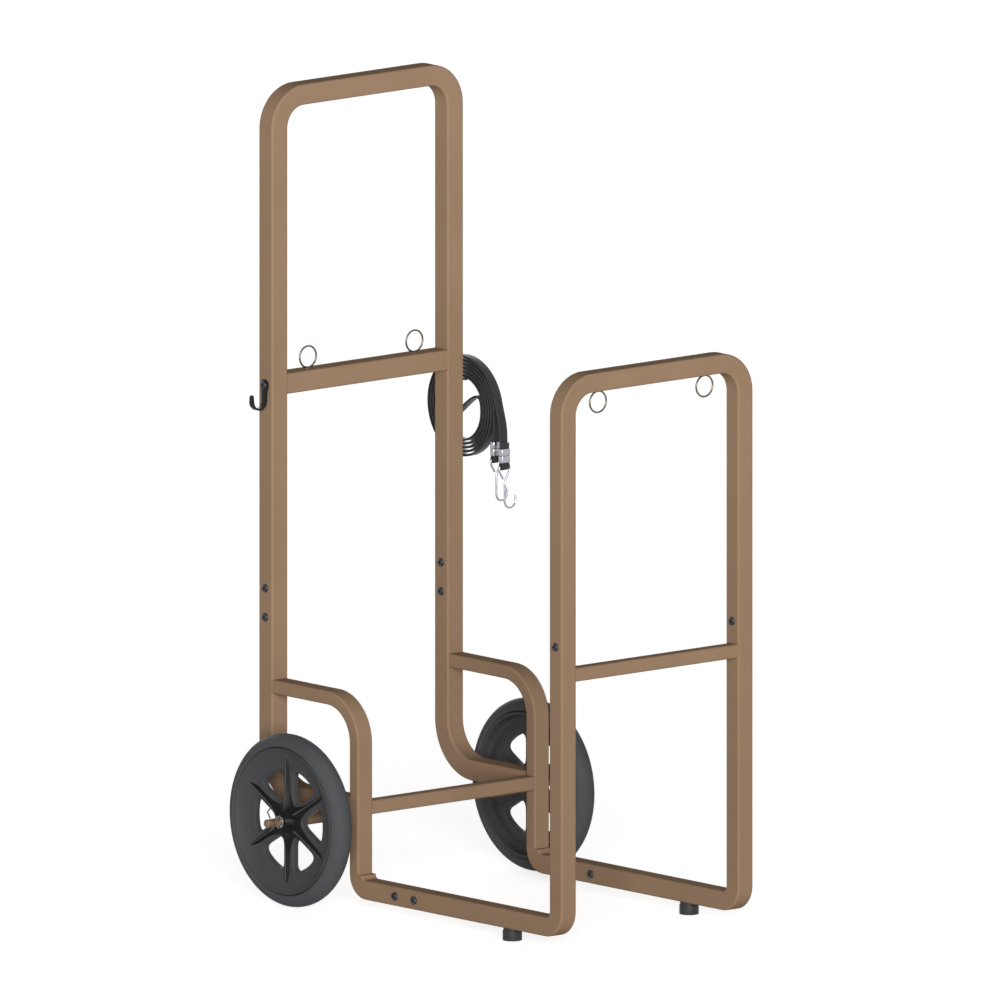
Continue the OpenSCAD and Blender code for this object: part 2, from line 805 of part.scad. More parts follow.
arm_a = arm(arm_a_end, 0, -coil_step, 0);
arm_b = arm(0, arm_b_end, coil_step, 180);
a_out = arm_a[0];
b_out = arm_b[len(arm_b) - 1];
a_tail = [a_out[0], -end_drop];
b_tail = [b_out[0] - end_splay, -end_drop - end_stagger];
a_up = a_tail + [0, end_straight];
b_up = b_tail + [0, end_straight];
b_way = [-sin(coil_step), -cos(coil_step)];
heart = bezier([strap_in, 0], [strap_in, -heart_pull], [-strap_in, heart_pull], [-strap_in, 0], 12);
route = concat(
    [a_tail, a_up, (a_up + a_out)/2], arm_a, heart, arm_b,
    bezier(b_out, b_out + 26*b_way, b_up + [0, 20], b_up, 4), [b_up, b_tail]
);

// Middle of the coil: its innermost strand rests in the hook's curve. It bends down over the
// hook's edges, so its middle lies a little higher than it would on a narrow hook.
hang_gap = 1.3;
hook_middle_u = hook_t + hook_r;
rest_z = crossbar_z - hook_drop - sqrt(pow(hook_r, 2) - pow(strap_w/2 - strap_t/2, 2));
strap_z = rest_z + hang_gap - coil_r(90) + strap_t/2;
function at_strap(q, x = 0) = [half_w + hook_middle_u + x, rear_leg_y + q[0], strap_z + q[1]];

// Least gap of the coil to itself, between strands
function to_line(p, a, b) = let (v = b - a, s = max(0, min(1, ((p - a)*v)/(v*v)))) norm(p - a - s*v);
strand_gap = min([for (i = [0 : len(route) - 1], j = [0 : len(route) - 2])
    if (abs(i - j) > 6) to_line(route[i], route[j], route[j + 1])]) - strap_t;
strap_length = strap_sum(len(route) - 2);
function strap_sum(i) = i < 0 ? 0 : norm(route[i + 1] - route[i]) + strap_sum(i - 1);
echo(str("Strap coil: least gap ", strand_gap, " mm, length ", strap_length, " mm"));  // strap_coil

module strap_coil() {
    color(black) swept([for (q = route) at_strap(q)], strap_section, [1, 0, 0]);
}

// End of the strap: down through two crimps, round the hook's wire and back up beside itself
fold_gap = 0.6;
crimp_gap = 0.3;
crimp_t = 0.9;
run_gap = strap_t + fold_gap;
eye_r = strap_wire/2 + strap_t/2 + 0.5;
crimp_pitch = crimp_h + fold_gap;
crimp_len = 2*crimp_pitch;
eye_z = -crimp_len - 6;
loop_route = concat(
    [[0, 0], [0, -crimp_len]],
    [for (a = [165 : 21 : 375]) [run_gap/2 + eye_r*cos(a), eye_z + eye_r*sin(a)]],
    [[run_gap, -crimp_len], [run_gap, 8]]
);
// Each end's place and the side on which it returns
strap_ends = [[a_tail, 1], [b_tail, -1]];

module strap_loops() {
    color(black) for (e = strap_ends)
        swept([for (q = loop_route) at_strap(e[0] + [e[1]*q[0], q[1]])], strap_section, [1, 0, 0]);
}

module strap_crimps() {
    w = strap_w + 2*crimp_gap;
    t = strap_t + run_gap + 2*crimp_gap;
    color(zinc) for (e = strap_ends, i = [1, 2])
        translate(at_strap(e[0] + [e[1]*run_gap/2, -i*crimp_pitch]))
            linear_extrude(crimp_h) difference() {
                rounded(w + 2*crimp_t, t + 2*crimp_t, 2);
                rounded(w, t, 2 - crimp_t);
            }
}

// Wire hook: a triangular eye through the strap's loop, a shank and a J, as [x, z] below the eye
shank_x = 0.8;
j_r = 10;
j_z = j_r - strap_hook_len;
eye_x = strap_w/2 + strap_wire/2 + 1;
hook_points = concat(
    [[-2.6, -18], [-eye_x, -6.5], [-eye_x, 0], [eye_x, 0], [eye_x, -6.5], [shank_x, -22]],
    [for (a = [180 : 36 : 360]) [shank_x + j_r + j_r*cos(a), j_z + j_r*sin(a)]],
    [[shank_x + 2*j_r, j_z + 8]]
);

module strap_hooks() {
    color(zinc) for (e = strap_ends)
        swept(softened([for (q = hook_points) at_strap(e[0] + [e[1]*run_gap/2, eye_z + q[1]], q[0])], 2.6),
            round_section(strap_wire, wire_sides), [0, 1, 0]);
}

handle_hoop();
rear_crossbar();
front_hoop();
front_midbar();
left_front_frame();
right_front_frame();
left_rear_rail();
right_rear_rail();
left_rear_leg();
right_rear_leg();
left_arch();
right_arch();
arch_tie();
leg_sleeves();
rail_sleeves();
frame_bolts();
frame_nuts();
left_axle_boss();
right_axle_boss();
axle();
left_wheel();
right_wheel();
left_tyre();
right_tyre();
left_bush();
right_bush();
inner_washers();
outer_washers();
left_clip();
right_clip();
left_foot();
right_foot();
foot_screws();
left_side_hook();
right_side_hook();
hook_bolts();
rear_rings();
front_rings();
strap_coil();
strap_loops();
strap_crimps();
strap_hooks();
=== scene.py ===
import json
import math
import bmesh
import bpy
from mathutils import Matrix, Vector


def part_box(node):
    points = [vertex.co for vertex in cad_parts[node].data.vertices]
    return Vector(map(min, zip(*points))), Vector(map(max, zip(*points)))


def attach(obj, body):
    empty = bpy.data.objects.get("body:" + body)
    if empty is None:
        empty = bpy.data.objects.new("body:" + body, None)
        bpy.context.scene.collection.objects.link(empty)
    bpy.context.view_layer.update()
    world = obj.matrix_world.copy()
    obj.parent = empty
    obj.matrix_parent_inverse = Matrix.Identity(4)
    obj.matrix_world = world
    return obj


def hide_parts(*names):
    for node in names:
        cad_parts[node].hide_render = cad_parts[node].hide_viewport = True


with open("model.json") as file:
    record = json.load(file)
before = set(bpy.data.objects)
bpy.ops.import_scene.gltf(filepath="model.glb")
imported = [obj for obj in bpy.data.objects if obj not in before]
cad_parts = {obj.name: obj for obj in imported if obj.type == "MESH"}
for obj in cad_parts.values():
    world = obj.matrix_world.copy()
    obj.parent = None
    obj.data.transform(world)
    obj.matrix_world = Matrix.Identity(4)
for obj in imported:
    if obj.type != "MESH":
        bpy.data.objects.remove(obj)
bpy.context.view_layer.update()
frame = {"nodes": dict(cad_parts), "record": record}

nodes = frame["nodes"]
mm = 0.001
print("frame loaded:", len(nodes), "nodes")


def deselect():
    if bpy.context.object and bpy.context.object.mode != "OBJECT":
        bpy.ops.object.mode_set(mode="OBJECT")
    bpy.ops.object.select_all(action="DESELECT")


def only(piece):
    deselect()
    piece.select_set(True)
    bpy.context.view_layer.objects.active = piece


# Edit mode with nothing selected yet
def edit(piece, kind="FACE"):
    only(piece)
    bpy.ops.object.mode_set(mode="EDIT")
    bpy.ops.mesh.select_mode(type=kind)
    bpy.ops.mesh.select_all(action="DESELECT")


# Selects the faces whose middle and normal pass a test
def pickFaces(piece, test):
    shape = bmesh.from_edit_mesh(piece.data)
    for face in shape.faces:
        face.select_set(bool(test(face.calc_center_median(), face.normal)))
    bmesh.update_edit_mesh(piece.data)


# Selects the edges whose two ends pass a test
def pickEdges(piece, test):
    shape = bmesh.from_edit_mesh(piece.data)
    for edge in shape.edges:
        edge.select_set(bool(test(edge.verts[0].co, edge.verts[1].co)))
    bmesh.update_edit_mesh(piece.data)


def leaveEdit():
    bpy.ops.object.mode_set(mode="OBJECT")


def newPiece(name):
    piece = bpy.context.object
    piece.name = name
    piece.data.name = name
    return piece


# Adds a primitive and applies its place, turn and scale to its mesh
def primitive(name, add, **settings):
    deselect()
    add(**settings)
    piece = newPiece(name)
    bpy.ops.object.transform_apply(location=True, rotation=True, scale=True)
    return piece


def selectAll():
    bpy.ops.mesh.select_all(action="SELECT")


def mergeSelected():
    bpy.ops.mesh.remove_doubles(threshold=mm/1000)


# Extrudes the selected faces by a way in millimetres
def extrude(*way):
    bpy.ops.mesh.extrude_region_move(TRANSFORM_OT_translate={"value": tuple(step*mm for step in way)})


def inset(width):
    bpy.ops.mesh.inset(thickness=width*mm)


def resize(scale, centre):
    bpy.ops.transform.resize(value=scale, center_override=centre)


# Draws a line of points, as by hand, by extruding one vertex from each to the next
def drawn(name, points):
    points = [Vector(p) for p in points]
    line = primitive(name, bpy.ops.mesh.primitive_plane_add, size=mm, location=points[0])
    bpy.ops.object.mode_set(mode="EDIT")
    bpy.ops.mesh.select_mode(type="VERT")
    selectAll()
    bpy.ops.mesh.merge(type="CENTER")
    for here, there in zip(points, points[1:]):
        bpy.ops.mesh.extrude_vertices_move(TRANSFORM_OT_translate={"value": there - here})
    leaveEdit()
    return line


# Draws a closed outline and fills it, and stays in edit mode
def drawnFace(name, points):
    face = drawn(name, points + points[:1])
    edit(face, "VERT")
    selectAll()
    mergeSelected()
    bpy.ops.mesh.edge_face_add()
    return face


# Merges doubled points and turns all faces outwards
def tidyNormals(piece):
    edit(piece)
    selectAll()
    mergeSelected()
    bpy.ops.mesh.normals_make_consistent(inside=False)
    leaveEdit()
    return piece


# Adds a modifier with its settings and applies it
def shaped(piece, kind, **settings):
    only(piece)
    bpy.ops.object.modifier_add(type=kind)
    modifier = piece.modifiers[-1]
    for key, value in settings.items():
        setattr(modifier, key, value)
    bpy.ops.object.modifier_apply(modifier=modifier.name)
    return piece


# Rounds the edges that are sharper than an angle, by a width in millimetres
def roundEdges(piece, width, segments, angle=50):
    return shaped(piece, "BEVEL", width=width*mm, segments=segments, limit_method="ANGLE",
                  angle_limit=math.radians(angle))


def joined(name, parts):
    deselect()
    for part in parts:
        part.select_set(True)
    bpy.context.view_layer.objects.active = parts[0]
    bpy.ops.object.join()
    return newPiece(name)


def copied(piece, name, matrix):
    twin = piece.copy()
    twin.data = piece.data.copy()
    twin.name = name
    twin.data.name = name
    bpy.context.scene.collection.objects.link(twin)
    twin.data.transform(matrix)
    if matrix.determinant() < 0:
        twin.data.flip_normals()
    return twin


def drop(*pieces):
    for piece in pieces:
        bpy.data.objects.remove(piece)


def cutBy(piece, cutter):
    shaped(piece, "BOOLEAN", operation="DIFFERENCE", object=cutter, solver="EXACT")
    drop(cutter)
    return piece


# The added solids may cross one another
def addTo(piece, added):
    shaped(piece, "BOOLEAN", operation="UNION", object=added, solver="EXACT", use_self=True)
    drop(added)
    return piece


def smooth(piece, angle):
    only(piece)
    bpy.ops.object.shade_smooth_by_angle(angle=math.radians(angle))
    return piece


# Gives a finished piece the material of its slot and its body, and hides the nodes that it stands for
def finished(piece, slot, stands=(), body="cart", finish=None):
    piece.data.materials.clear()
    piece.data.materials.append(materials[finish or slotFinish[slot]])
    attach(piece, body)
    if stands:
        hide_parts(*stands)
    return piece


mirrorX = Matrix.Scale(-1, 4, (1, 0, 0))


# Path whose inner corners are replaced by short curves that start lead before them
def softened(points, lead, steps):
    path = [Vector(points[0])]
    for before, corner, after in zip(points, points[1:], points[2:]):
        corner = Vector(corner)
        start = corner + (Vector(before) - corner).normalized()*lead
        end = corner + (Vector(after) - corner).normalized()*lead
        for k in range(steps + 1):
            t = k/steps
            path.append(start*(1 - t)**2 + corner*2*t*(1 - t) + end*t*t)
    path.append(Vector(points[-1]))
    return path


def bezier(a, b, c, d, steps):
    curve = []
    for k in range(1, steps):
        t = k/steps
        curve.append(a*(1 - t)**3 + b*3*t*(1 - t)**2 + c*3*t*t*(1 - t) + d*t**3)
    return curve


# Rounded rectangle, counterclockwise
def roundedSection(width, height, radius, steps):
    section = []
    corners = ((1, 1, 0), (-1, 1, 90), (-1, -1, 180), (1, -1, 270))
    for sx, sy, start in corners:
        for k in range(steps + 1):
            a = math.radians(start + 90*k/steps)
            section.append((sx*(width/2 - radius) + radius*math.cos(a),
                            sy*(height/2 - radius) + radius*math.sin(a)))
    return section


# Skin over rings of points, with caps and a map of the length along it and the way round
def lofted(name, rings):
    count, sides = len(rings), len(rings[0])
    points = [p for ring in rings for p in ring]
    faces = []
    lengths = [0]
    for a, b in zip(rings, rings[1:]):
        lengths.append(lengths[-1] + (sum(b, Vector()) - sum(a, Vector())).length/sides)
    for i in range(count - 1):
        for k in range(sides):
            low, high = i*sides, (i + 1)*sides
            faces.append((low + k, low + (k + 1) % sides, high + (k + 1) % sides, high + k))
    quads = len(faces)
    faces.append(tuple(reversed(range(sides))))
    faces.append(tuple(range((count - 1)*sides, count*sides)))
    mesh = bpy.data.meshes.new(name)
    mesh.from_pydata(points, [], faces)
    piece = bpy.data.objects.new(name, mesh)
    bpy.context.scene.collection.objects.link(piece)
    layer = piece.data.uv_layers.new(name="lengthAndRound")
    for polygon in piece.data.polygons:
        i, k = divmod(polygon.index, sides)
        for corner, loop in enumerate(polygon.loop_indices):
            if polygon.index < quads:
                along = lengths[i + (corner > 1)]
                layer.data[loop].uv = (along, (k + (corner in (1, 2)))/sides)
            else:
                layer.data[loop].uv = (0, 0)
    return tidyNormals(piece)


# Rings of one section along a path that never runs along up
def sweptRings(path, section, up):
    up = Vector(up)
    rings = []
    for i, middle in enumerate(path):
        way = (path[min(i + 1, len(path) - 1)] - path[max(i - 1, 0)]).normalized()
        across = way.cross(up).normalized()
        side = across.cross(way)
        rings.append([middle + across*x + side*y for x, y in section])
    return rings


# Turns a closed outline of (radius, height), in millimetres, all round the Z axis
def turned(name, outline, steps):
    points = [(r*mm, 0, z*mm) for r, z in outline]
    piece = drawn(name, points + points[:1])
    edit(piece, "VERT")
    selectAll()
    bpy.ops.mesh.spin(steps=steps, angle=2*math.pi, center=(0, 0, 0), axis=(0, 0, 1))
    leaveEdit()
    return tidyNormals(piece)


# Round bar bent along points, with a thickness for each, closed on itself or with cut ends
def bentBar(name, points, diameter, sides, closed=False, swell=None):
    deselect()
    bpy.ops.curve.primitive_nurbs_path_add(location=(0, 0, 0))
    bar = newPiece(name)
    line = bar.data
    line.splines.clear()
    spline = line.splines.new("POLY")
    spline.points.add(len(points) - 1)
    for k, point in enumerate(points):
        spline.points[k].co = (*point, 1)
        spline.points[k].radius = swell(k) if swell else 1
    spline.use_cyclic_u = closed
    line.dimensions = "3D"
    line.twist_mode = "MINIMUM"
    line.bevel_depth = diameter/2
    line.bevel_resolution = sides//2 - 2
    line.use_fill_caps = not closed
    bpy.ops.object.convert(target="MESH")
    return tidyNormals(newPiece(name))


cameraLook = {
    "azimuth": -40.5, "elevation": 10, "width": 1.4286, "across": -0.00847, "above": 0.5821, "away": 4,
    "far": 30
}


def makeCamera(look):
    turn, tilt = math.radians(look["azimuth"]), math.radians(look["elevation"])
    right = Vector((math.cos(turn), math.sin(turn), 0))
    back = Vector((math.sin(turn)*math.cos(tilt), -math.cos(turn)*math.cos(tilt), math.sin(tilt)))
    up = back.cross(right)
    bpy.ops.object.camera_add()
    camera = bpy.context.object
    camera.data.type = "ORTHO"
    camera.data.ortho_scale = look["width"]
    camera.data.clip_end = look["far"]
    matrix = Matrix((right, up, back)).transposed().to_4x4()
    matrix.translation = right*look["across"] + up*look["above"] + back*look["away"]
    camera.matrix_world = matrix
    bpy.context.scene.camera = camera


makeCamera(cameraLook)
print("camera set")


def newMaterial(name, look):
    material = bpy.data.materials.new(name)
    material.use_nodes = True
    shader = material.node_tree.nodes["Principled BSDF"]
    shader.inputs["Base Color"].default_value = (*look["colour"], 1)
    shader.inputs["Roughness"].default_value = look["rough"]
    shader.inputs["Metallic"].default_value = look.get("metal", 0)
    shader.inputs["Specular IOR Level"].default_value = look.get("specular", 0.5)
    return material, shader


# A new node in a material or the world, with values for its sockets or settings
def addNode(owner, kind, **values):
    node = owner.node_tree.nodes.new(kind)
    for key, value in values.items():
        if key in node.inputs:
            node.inputs[key].default_value = value
        else:
            setattr(node, key, value)
    return node


def link(owner, source, target):
    owner.node_tree.links.new(source, target)


# Math node on sockets or plain values
def maths(owner, operation, *values, kind="ShaderNodeMath", result=0):
    node = addNode(owner, kind, operation=operation)
    for socket, value in zip(node.inputs, values):
        if isinstance(value, bpy.types.NodeSocket):
            link(owner, value, socket)
        else:
            socket.default_value = value
    return node.outputs[result]


def noise(material, scale, detail):
    place = addNode(material, "ShaderNodeTexCoord")
    texture = addNode(material, "ShaderNodeTexNoise", Scale=scale, Detail=detail)
    link(material, place.outputs["Object"], texture.inputs["Vector"])
    return texture.outputs["Fac"]


# Spreads a factor between two colours or two greys
def ramp(material, factor, low, high):
    node = addNode(material, "ShaderNodeValToRGB")
    for element, position, colour in zip(node.color_ramp.elements, (0.35, 0.65), (low, high)):
        element.position = position
        element.color = (*colour, 1)
    link(material, factor, node.inputs["Fac"])
    return node.outputs["Color"]


def bump(material, shader, height, strength, distance, before=None):
    node = addNode(material, "ShaderNodeBump", Strength=strength, Distance=distance)
    link(material, height, node.inputs["Height"])
    if before:
        link(material, before, node.inputs["Normal"])
    link(material, node.outputs["Normal"], shader.inputs["Normal"])
    return node.outputs["Normal"]


# Bump from the noise whose scale, depth and height a look gives under one name
def noiseBump(material, shader, look, kind, before=None):
    height = noise(material, look[kind], 2)
    return bump(material, shader, height, look[kind + "Depth"], look[kind + "High"]*mm, before)


def shade(colour, factor):
    return tuple(min(1, c*factor) for c in colour)


def grey(value):
    return (value, value, value)


# Colour that drifts slightly, roughness that varies, and a fine surface
def livelyFinish(name, look):
    material, shader = newMaterial(name, look)
    colour = look["colour"]
    drift = noise(material, look.get("driftScale", 9), 4)
    spread = look.get("drift", 0.05)
    tone = ramp(material, drift, shade(colour, 1 - spread), shade(colour, 1 + spread))
    link(material, tone, shader.inputs["Base Color"])
    patches = noise(material, 40, 3)
    rough, change = look["rough"], look.get("roughChange", 0.05)
    roughness = ramp(material, patches, grey(rough - change), grey(rough + change))
    link(material, roughness, shader.inputs["Roughness"])
    fine = noiseBump(material, shader, look, "grain")
    if "wave" in look:
        noiseBump(material, shader, look, "wave", fine)
    return material


finishes = {
    "frame": {"colour": (0.31, 0.203, 0.128), "rough": 0.55, "specular": 0, "drift": 0.03, "grain": 900,
              "grainDepth": 0.16, "grainHigh": 0.12, "wave": 60, "waveDepth": 0.05, "waveHigh": 0.3},
    "innerSteel": {"colour": (0.5, 0.5, 0.51), "rough": 0.38, "metal": 1, "grain": 500,
                   "grainDepth": 0.1, "grainHigh": 0.05},
    "boltBlack": {"colour": (0.03, 0.03, 0.033), "rough": 0.28, "metal": 0.5, "drift": 0.1,
                  "grain": 1500, "grainDepth": 0.12, "grainHigh": 0.04},
    "axle": {"colour": (0.2, 0.125, 0.078), "rough": 0.36, "metal": 0.2, "drift": 0.5, "driftScale": 260,
             "grain": 900, "grainDepth": 0.2, "grainHigh": 0.08},
    "wheelDisc": {"colour": (0.06, 0.0605, 0.064), "rough": 0.55, "specular": 0.1, "drift": 0.06,
                  "grain": 1400, "grainDepth": 0.14, "grainHigh": 0.06},
    "tyre": {"colour": (0.078, 0.08, 0.085), "rough": 0.6, "specular": 0.04, "drift": 0.06,
             "driftScale": 14, "grain": 1100, "grainDepth": 0.16, "grainHigh": 0.08},
    "bush": {"colour": (0.05, 0.05, 0.05), "rough": 0.45, "grain": 1200, "grainDepth": 0.1,
             "grainHigh": 0.05},
    "zinc": {"colour": (0.4, 0.42, 0.45), "rough": 0.3, "metal": 1, "drift": 0.12, "driftScale": 160,
             "roughChange": 0.1, "grain": 1300, "grainDepth": 0.1, "grainHigh": 0.03},
    "clipSteel": {"colour": (0.1, 0.1, 0.105), "rough": 0.34, "metal": 1, "drift": 0.1, "driftScale": 160,
                  "grain": 1300, "grainDepth": 0.1, "grainHigh": 0.03},
    "foot": {"colour": (0.035, 0.035, 0.037), "rough": 0.46, "specular": 0.2, "grain": 1300,
             "grainDepth": 0.16, "grainHigh": 0.06},
    "hookBlack": {"colour": (0.012, 0.012, 0.014), "rough": 0.3, "specular": 0.12, "grain": 1100,
                  "grainDepth": 0.18, "grainHigh": 0.06},
    "ringWire": {"colour": (0.15, 0.13, 0.105), "rough": 0.28, "metal": 1, "drift": 0.15, "driftScale": 200,
                 "grain": 1500, "grainDepth": 0.08, "grainHigh": 0.03},
}
materials = {name: livelyFinish(name, look) for name, look in finishes.items()}

bandLook = {
    "colour": (0.014, 0.014, 0.016), "rough": 0.55, "specular": 0.35, "ribs": 7, "ribDepth": 0.5,
    "ribHigh": 0.25, "rows": 220, "rowDepth": 0.35, "rowHigh": 0.15, "grain": 1800, "grainDepth": 0.2,
    "grainHigh": 0.05, "driftScale": 50, "darkest": 0.75, "lightest": 1.3, "sheen": 0.15, "sheenRough": 0.4
}


# Elastic band: fine ribs along it and a close cross weave, both on the band's own map
def makeBandMaterial(look):
    material, shader = newMaterial("strapElastic", look)
    place = addNode(material, "ShaderNodeTexCoord")
    ribs = addNode(material, "ShaderNodeMapping")
    ribs.inputs["Scale"].default_value = (0, look["ribs"], 0)
    rows = addNode(material, "ShaderNodeMapping")
    rows.inputs["Scale"].default_value = (look["rows"], 0, 0)
    waves = []
    for mapping in (ribs, rows):
        link(material, place.outputs["UV"], mapping.inputs["Vector"])
        wave = addNode(material, "ShaderNodeTexWave", Scale=1.0, Distortion=0.0)
        wave.bands_direction = "Y" if mapping is ribs else "X"
        link(material, mapping.outputs["Vector"], wave.inputs["Vector"])
        waves.append(wave.outputs["Fac"])
    ribNormal = bump(material, shader, waves[0], look["ribDepth"], look["ribHigh"]*mm)
    rowNormal = bump(material, shader, waves[1], look["rowDepth"], look["rowHigh"]*mm, ribNormal)
    noiseBump(material, shader, look, "grain", rowNormal)
    drift = noise(material, look["driftScale"], 3)
    darkest, lightest = (shade(look["colour"], look[end]) for end in ("darkest", "lightest"))
    link(material, ramp(material, drift, darkest, lightest), shader.inputs["Base Color"])
    shader.inputs["Sheen Weight"].default_value = look["sheen"]
    shader.inputs["Sheen Roughness"].default_value = look["sheenRough"]
    return material


# Height over the distance from the axle, through a table of both in millimetres
def overRadius(material, radius, table, look):
    node = addNode(material, "ShaderNodeFloatCurve")
    curve = node.mapping.curves[0]
    for r, height in table[1:-1]:
        curve.points.new(r/look["reach"], height/look["tall"])
    curve.points[0].location = (0, table[0][1]/look["tall"])
    curve.points[-1].location = (1, table[-1][1]/look["tall"])
    for point in curve.points:
        point.handle_type = "VECTOR"
    node.mapping.update()
    link(material, radius, node.inputs["Value"])
    return maths(material, "MULTIPLY", node.outputs["Value"], look["tall"]*mm)


# Mixes a colour over what reaches one of the shader's sockets
def mixOver(material, shader, name, factor, colour):
    mix = addNode(material, "ShaderNodeMix", data_type="RGBA")
    link(material, factor, mix.inputs["Factor"])
    link(material, shader.inputs[name].links[0].from_socket, mix.inputs["A"])
    mix.inputs["B"].default_value = (*colour, 1)
    link(material, mix.outputs["Result"], shader.inputs[name])


# Paints shade onto the hub and ribs, which stand above the web and the dish, as a deeper black, and paints
# a highlight along their crests
def paintRibShadeAndCrestHighlight(material, look):
    shader = material.node_tree.nodes["Principled BSDF"]
    place = addNode(material, "ShaderNodeTexCoord").outputs["Object"]
    split = addNode(material, "ShaderNodeSeparateXYZ")
    link(material, place, split.inputs["Vector"])
    up = maths(material, "SUBTRACT", maths(material, "ABSOLUTE", split.outputs["X"]), look["middle"].x)
    aside = maths(material, "SUBTRACT", place, look["middle"], kind="ShaderNodeVectorMath")
    flat = maths(material, "MULTIPLY", aside, (0, 1, 1), kind="ShaderNodeVectorMath")
    length = maths(material, "LENGTH", flat, kind="ShaderNodeVectorMath", result="Value")
    radius = maths(material, "DIVIDE", length, look["reach"]*mm)

    stand = maths(material, "SUBTRACT", up, overRadius(material, radius, look["web"], look))
    ribs = addNode(material, "ShaderNodeMapRange", interpolation_type="SMOOTHSTEP")
    ribs.inputs["From Min"].default_value = look["from"]*mm
    ribs.inputs["From Max"].default_value = look["to"]*mm
    link(material, stand, ribs.inputs["Value"])
    # Painted shade: a deeper black on the ribs and hub where they stand over the web
    mixOver(material, shader, "Base Color", ribs.outputs["Result"], look["colour"])
    mixOver(material, shader, "Roughness", ribs.outputs["Result"], grey(look["rough"]))

    under = maths(material, "SUBTRACT", overRadius(material, radius, look["crest"], look), up)
    paintedCrestHighlight = addNode(material, "ShaderNodeMapRange")
    paintedCrestHighlight.inputs["From Min"].default_value = look["crestDeep"]*mm
    paintedCrestHighlight.inputs["From Max"].default_value = 0
    link(material, under, paintedCrestHighlight.inputs["Value"])
    # Painted highlight: a lighter grey along the ribs' crests
    mixOver(material, shader, "Base Color", paintedCrestHighlight.outputs["Result"], look["crestHighlightColour"])


materials["strapElastic"] = makeBandMaterial(bandLook)
print("materials made:", len(materials))

slotFinish = {
    "frame": "frame", "inner_steel": "innerSteel", "bolt_black": "boltBlack", "axle": "axle",
    "wheel_disc": "wheelDisc", "tyre": "tyre", "bush": "bush", "zinc": "zinc", "foot": "foot",
    "hook_black": "hookBlack", "ring_wire": "ringWire", "strap_elastic": "strapElastic",
    "strap_zinc": "zinc"
}
for part in frame["record"]["subparts"]:
    mesh = nodes[part["node"]].data
    mesh.materials.clear()
    mesh.materials.append(materials[slotFinish[part["material_slot"]]])


def middle(node):
    low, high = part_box(node)
    return (low + high)/2


axleMiddle = middle("axle")
wheelPlace = middle("left_tyre")
legLow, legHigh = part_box("left_rear_leg")
frontLow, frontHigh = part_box("left_front_frame")
seamZ = legHigh.z
halfWidth = -legLow.x
crossbarMiddle = middle("rear_crossbar")
hookPlace = Vector((-halfWidth, crossbarMiddle.y, crossbarMiddle.z))

# Left wheel pieces are made round Z, outwards; this turns Z to -X and X to +Z
toLeftWheel = Matrix.Translation((wheelPlace.x, axleMiddle.y, axleMiddle.z))
toLeftWheel = toLeftWheel @ Matrix.Rotation(-math.pi/2, 4, "Y")
wheelBodies = ("left_wheel_body", "right_wheel_body")


# Puts a left wheel piece in place, makes its right-hand twin, and finishes both
def bothWheels(piece, names, slot, stands, bodies=("cart", "cart"), finish=None):
    piece.name = names[0]
    piece.data.transform(toLeftWheel)
    twin = copied(piece, names[1], mirrorX)
    for item, body, taken in zip((piece, twin), bodies, stands):
        finished(item, slot, taken, body, finish)


strap = {
    "wide": 14, "thick": 3.2, "edge": 1.3, "pitch": 5.6, "inner": 44, "turns": 2, "step": 5,
    "drop": 40, "stagger": 8, "splay": 12, "splayStart": 26, "splayEnd": 20, "straight": 14,
    "heartPull": 70, "hang": 1.3, "cadStep": 15, "fold": 0.6, "foldHigh": 8, "eyeGap": 0.5, "eyeDrop": 6
}
crimpBand = {"high": 9.5, "gap": 0.6, "wall": 0.9, "round": 2, "waist": (0.975, 0.955, 1), "edge": 0.25}
strapHook = {
    "wire": 3.2, "long": 61, "gap": 1, "eyeHigh": 6.5, "end": (-2.6, -18), "neck": (0.8, -22),
    "curveR": 10, "tipHigh": 8, "eyeRound": 2.9, "neckRound": 5
}
sideHook = {"thick": 3, "curveR": 10.5, "down": 22, "edge": 1}


def coilRadius(a):
    return strap["inner"] + 2*strap["pitch"]*a/360


def coilPoint(a, phase):
    turn = math.radians(a + phase)
    return Vector((coilRadius(a)*math.cos(turn), coilRadius(a)*math.sin(turn)))


# Height of the coil's middle over the hook's bolt: its top lies in the hook's curve
halfBand = strap["wide"]/2 - strap["thick"]/2
strapHigh = -sideHook["down"] - math.sqrt(sideHook["curveR"]**2 - halfBand**2)
strapHigh += strap["hang"] - coilRadius(90) + strap["thick"]/2


# From [back, up] round the coil's middle, in millimetres, to the cart
def atStrap(q, out=0.0):
    across = halfWidth + (sideHook["thick"] + sideHook["curveR"] + out)*mm
    return Vector((across, hookPlace.y + q[0]*mm, hookPlace.z + (strapHigh + q[1])*mm))


def strapRoute():
    step = strap["step"]
    endA = 180 + 360*strap["turns"]
    endB = endA + 180 - strap["cadStep"]
    armA = [coilPoint(a, 0) for a in range(endA, -1, -step)]
    armB = [coilPoint(a, 180) for a in range(0, endB + 1, step)]
    tailA = Vector((armA[0].x, -strap["drop"]))
    tailB = Vector((armB[-1].x - strap["splay"], -strap["drop"] - strap["stagger"]))
    upA, upB = (tail + Vector((0, strap["straight"])) for tail in (tailA, tailB))
    lean = math.radians(strap["cadStep"])
    way = Vector((-math.sin(lean), -math.cos(lean)))
    inner, pull = strap["inner"], strap["heartPull"]
    heart = bezier(*(Vector(p) for p in ((inner, 0), (inner, -pull), (-inner, pull), (-inner, 0))), 36)
    splay = bezier(armB[-1], armB[-1] + way*strap["splayStart"],
                   upB + Vector((0, strap["splayEnd"])), upB, 14)
    leadA = [upA + (armA[0] - upA)*t/4 for t in range(1, 4)]
    route = [tailA, (tailA + upA)/2, upA] + leadA + armA + heart + armB + splay
    return route + [upB, (upB + tailB)/2, tailB], tailA, tailB


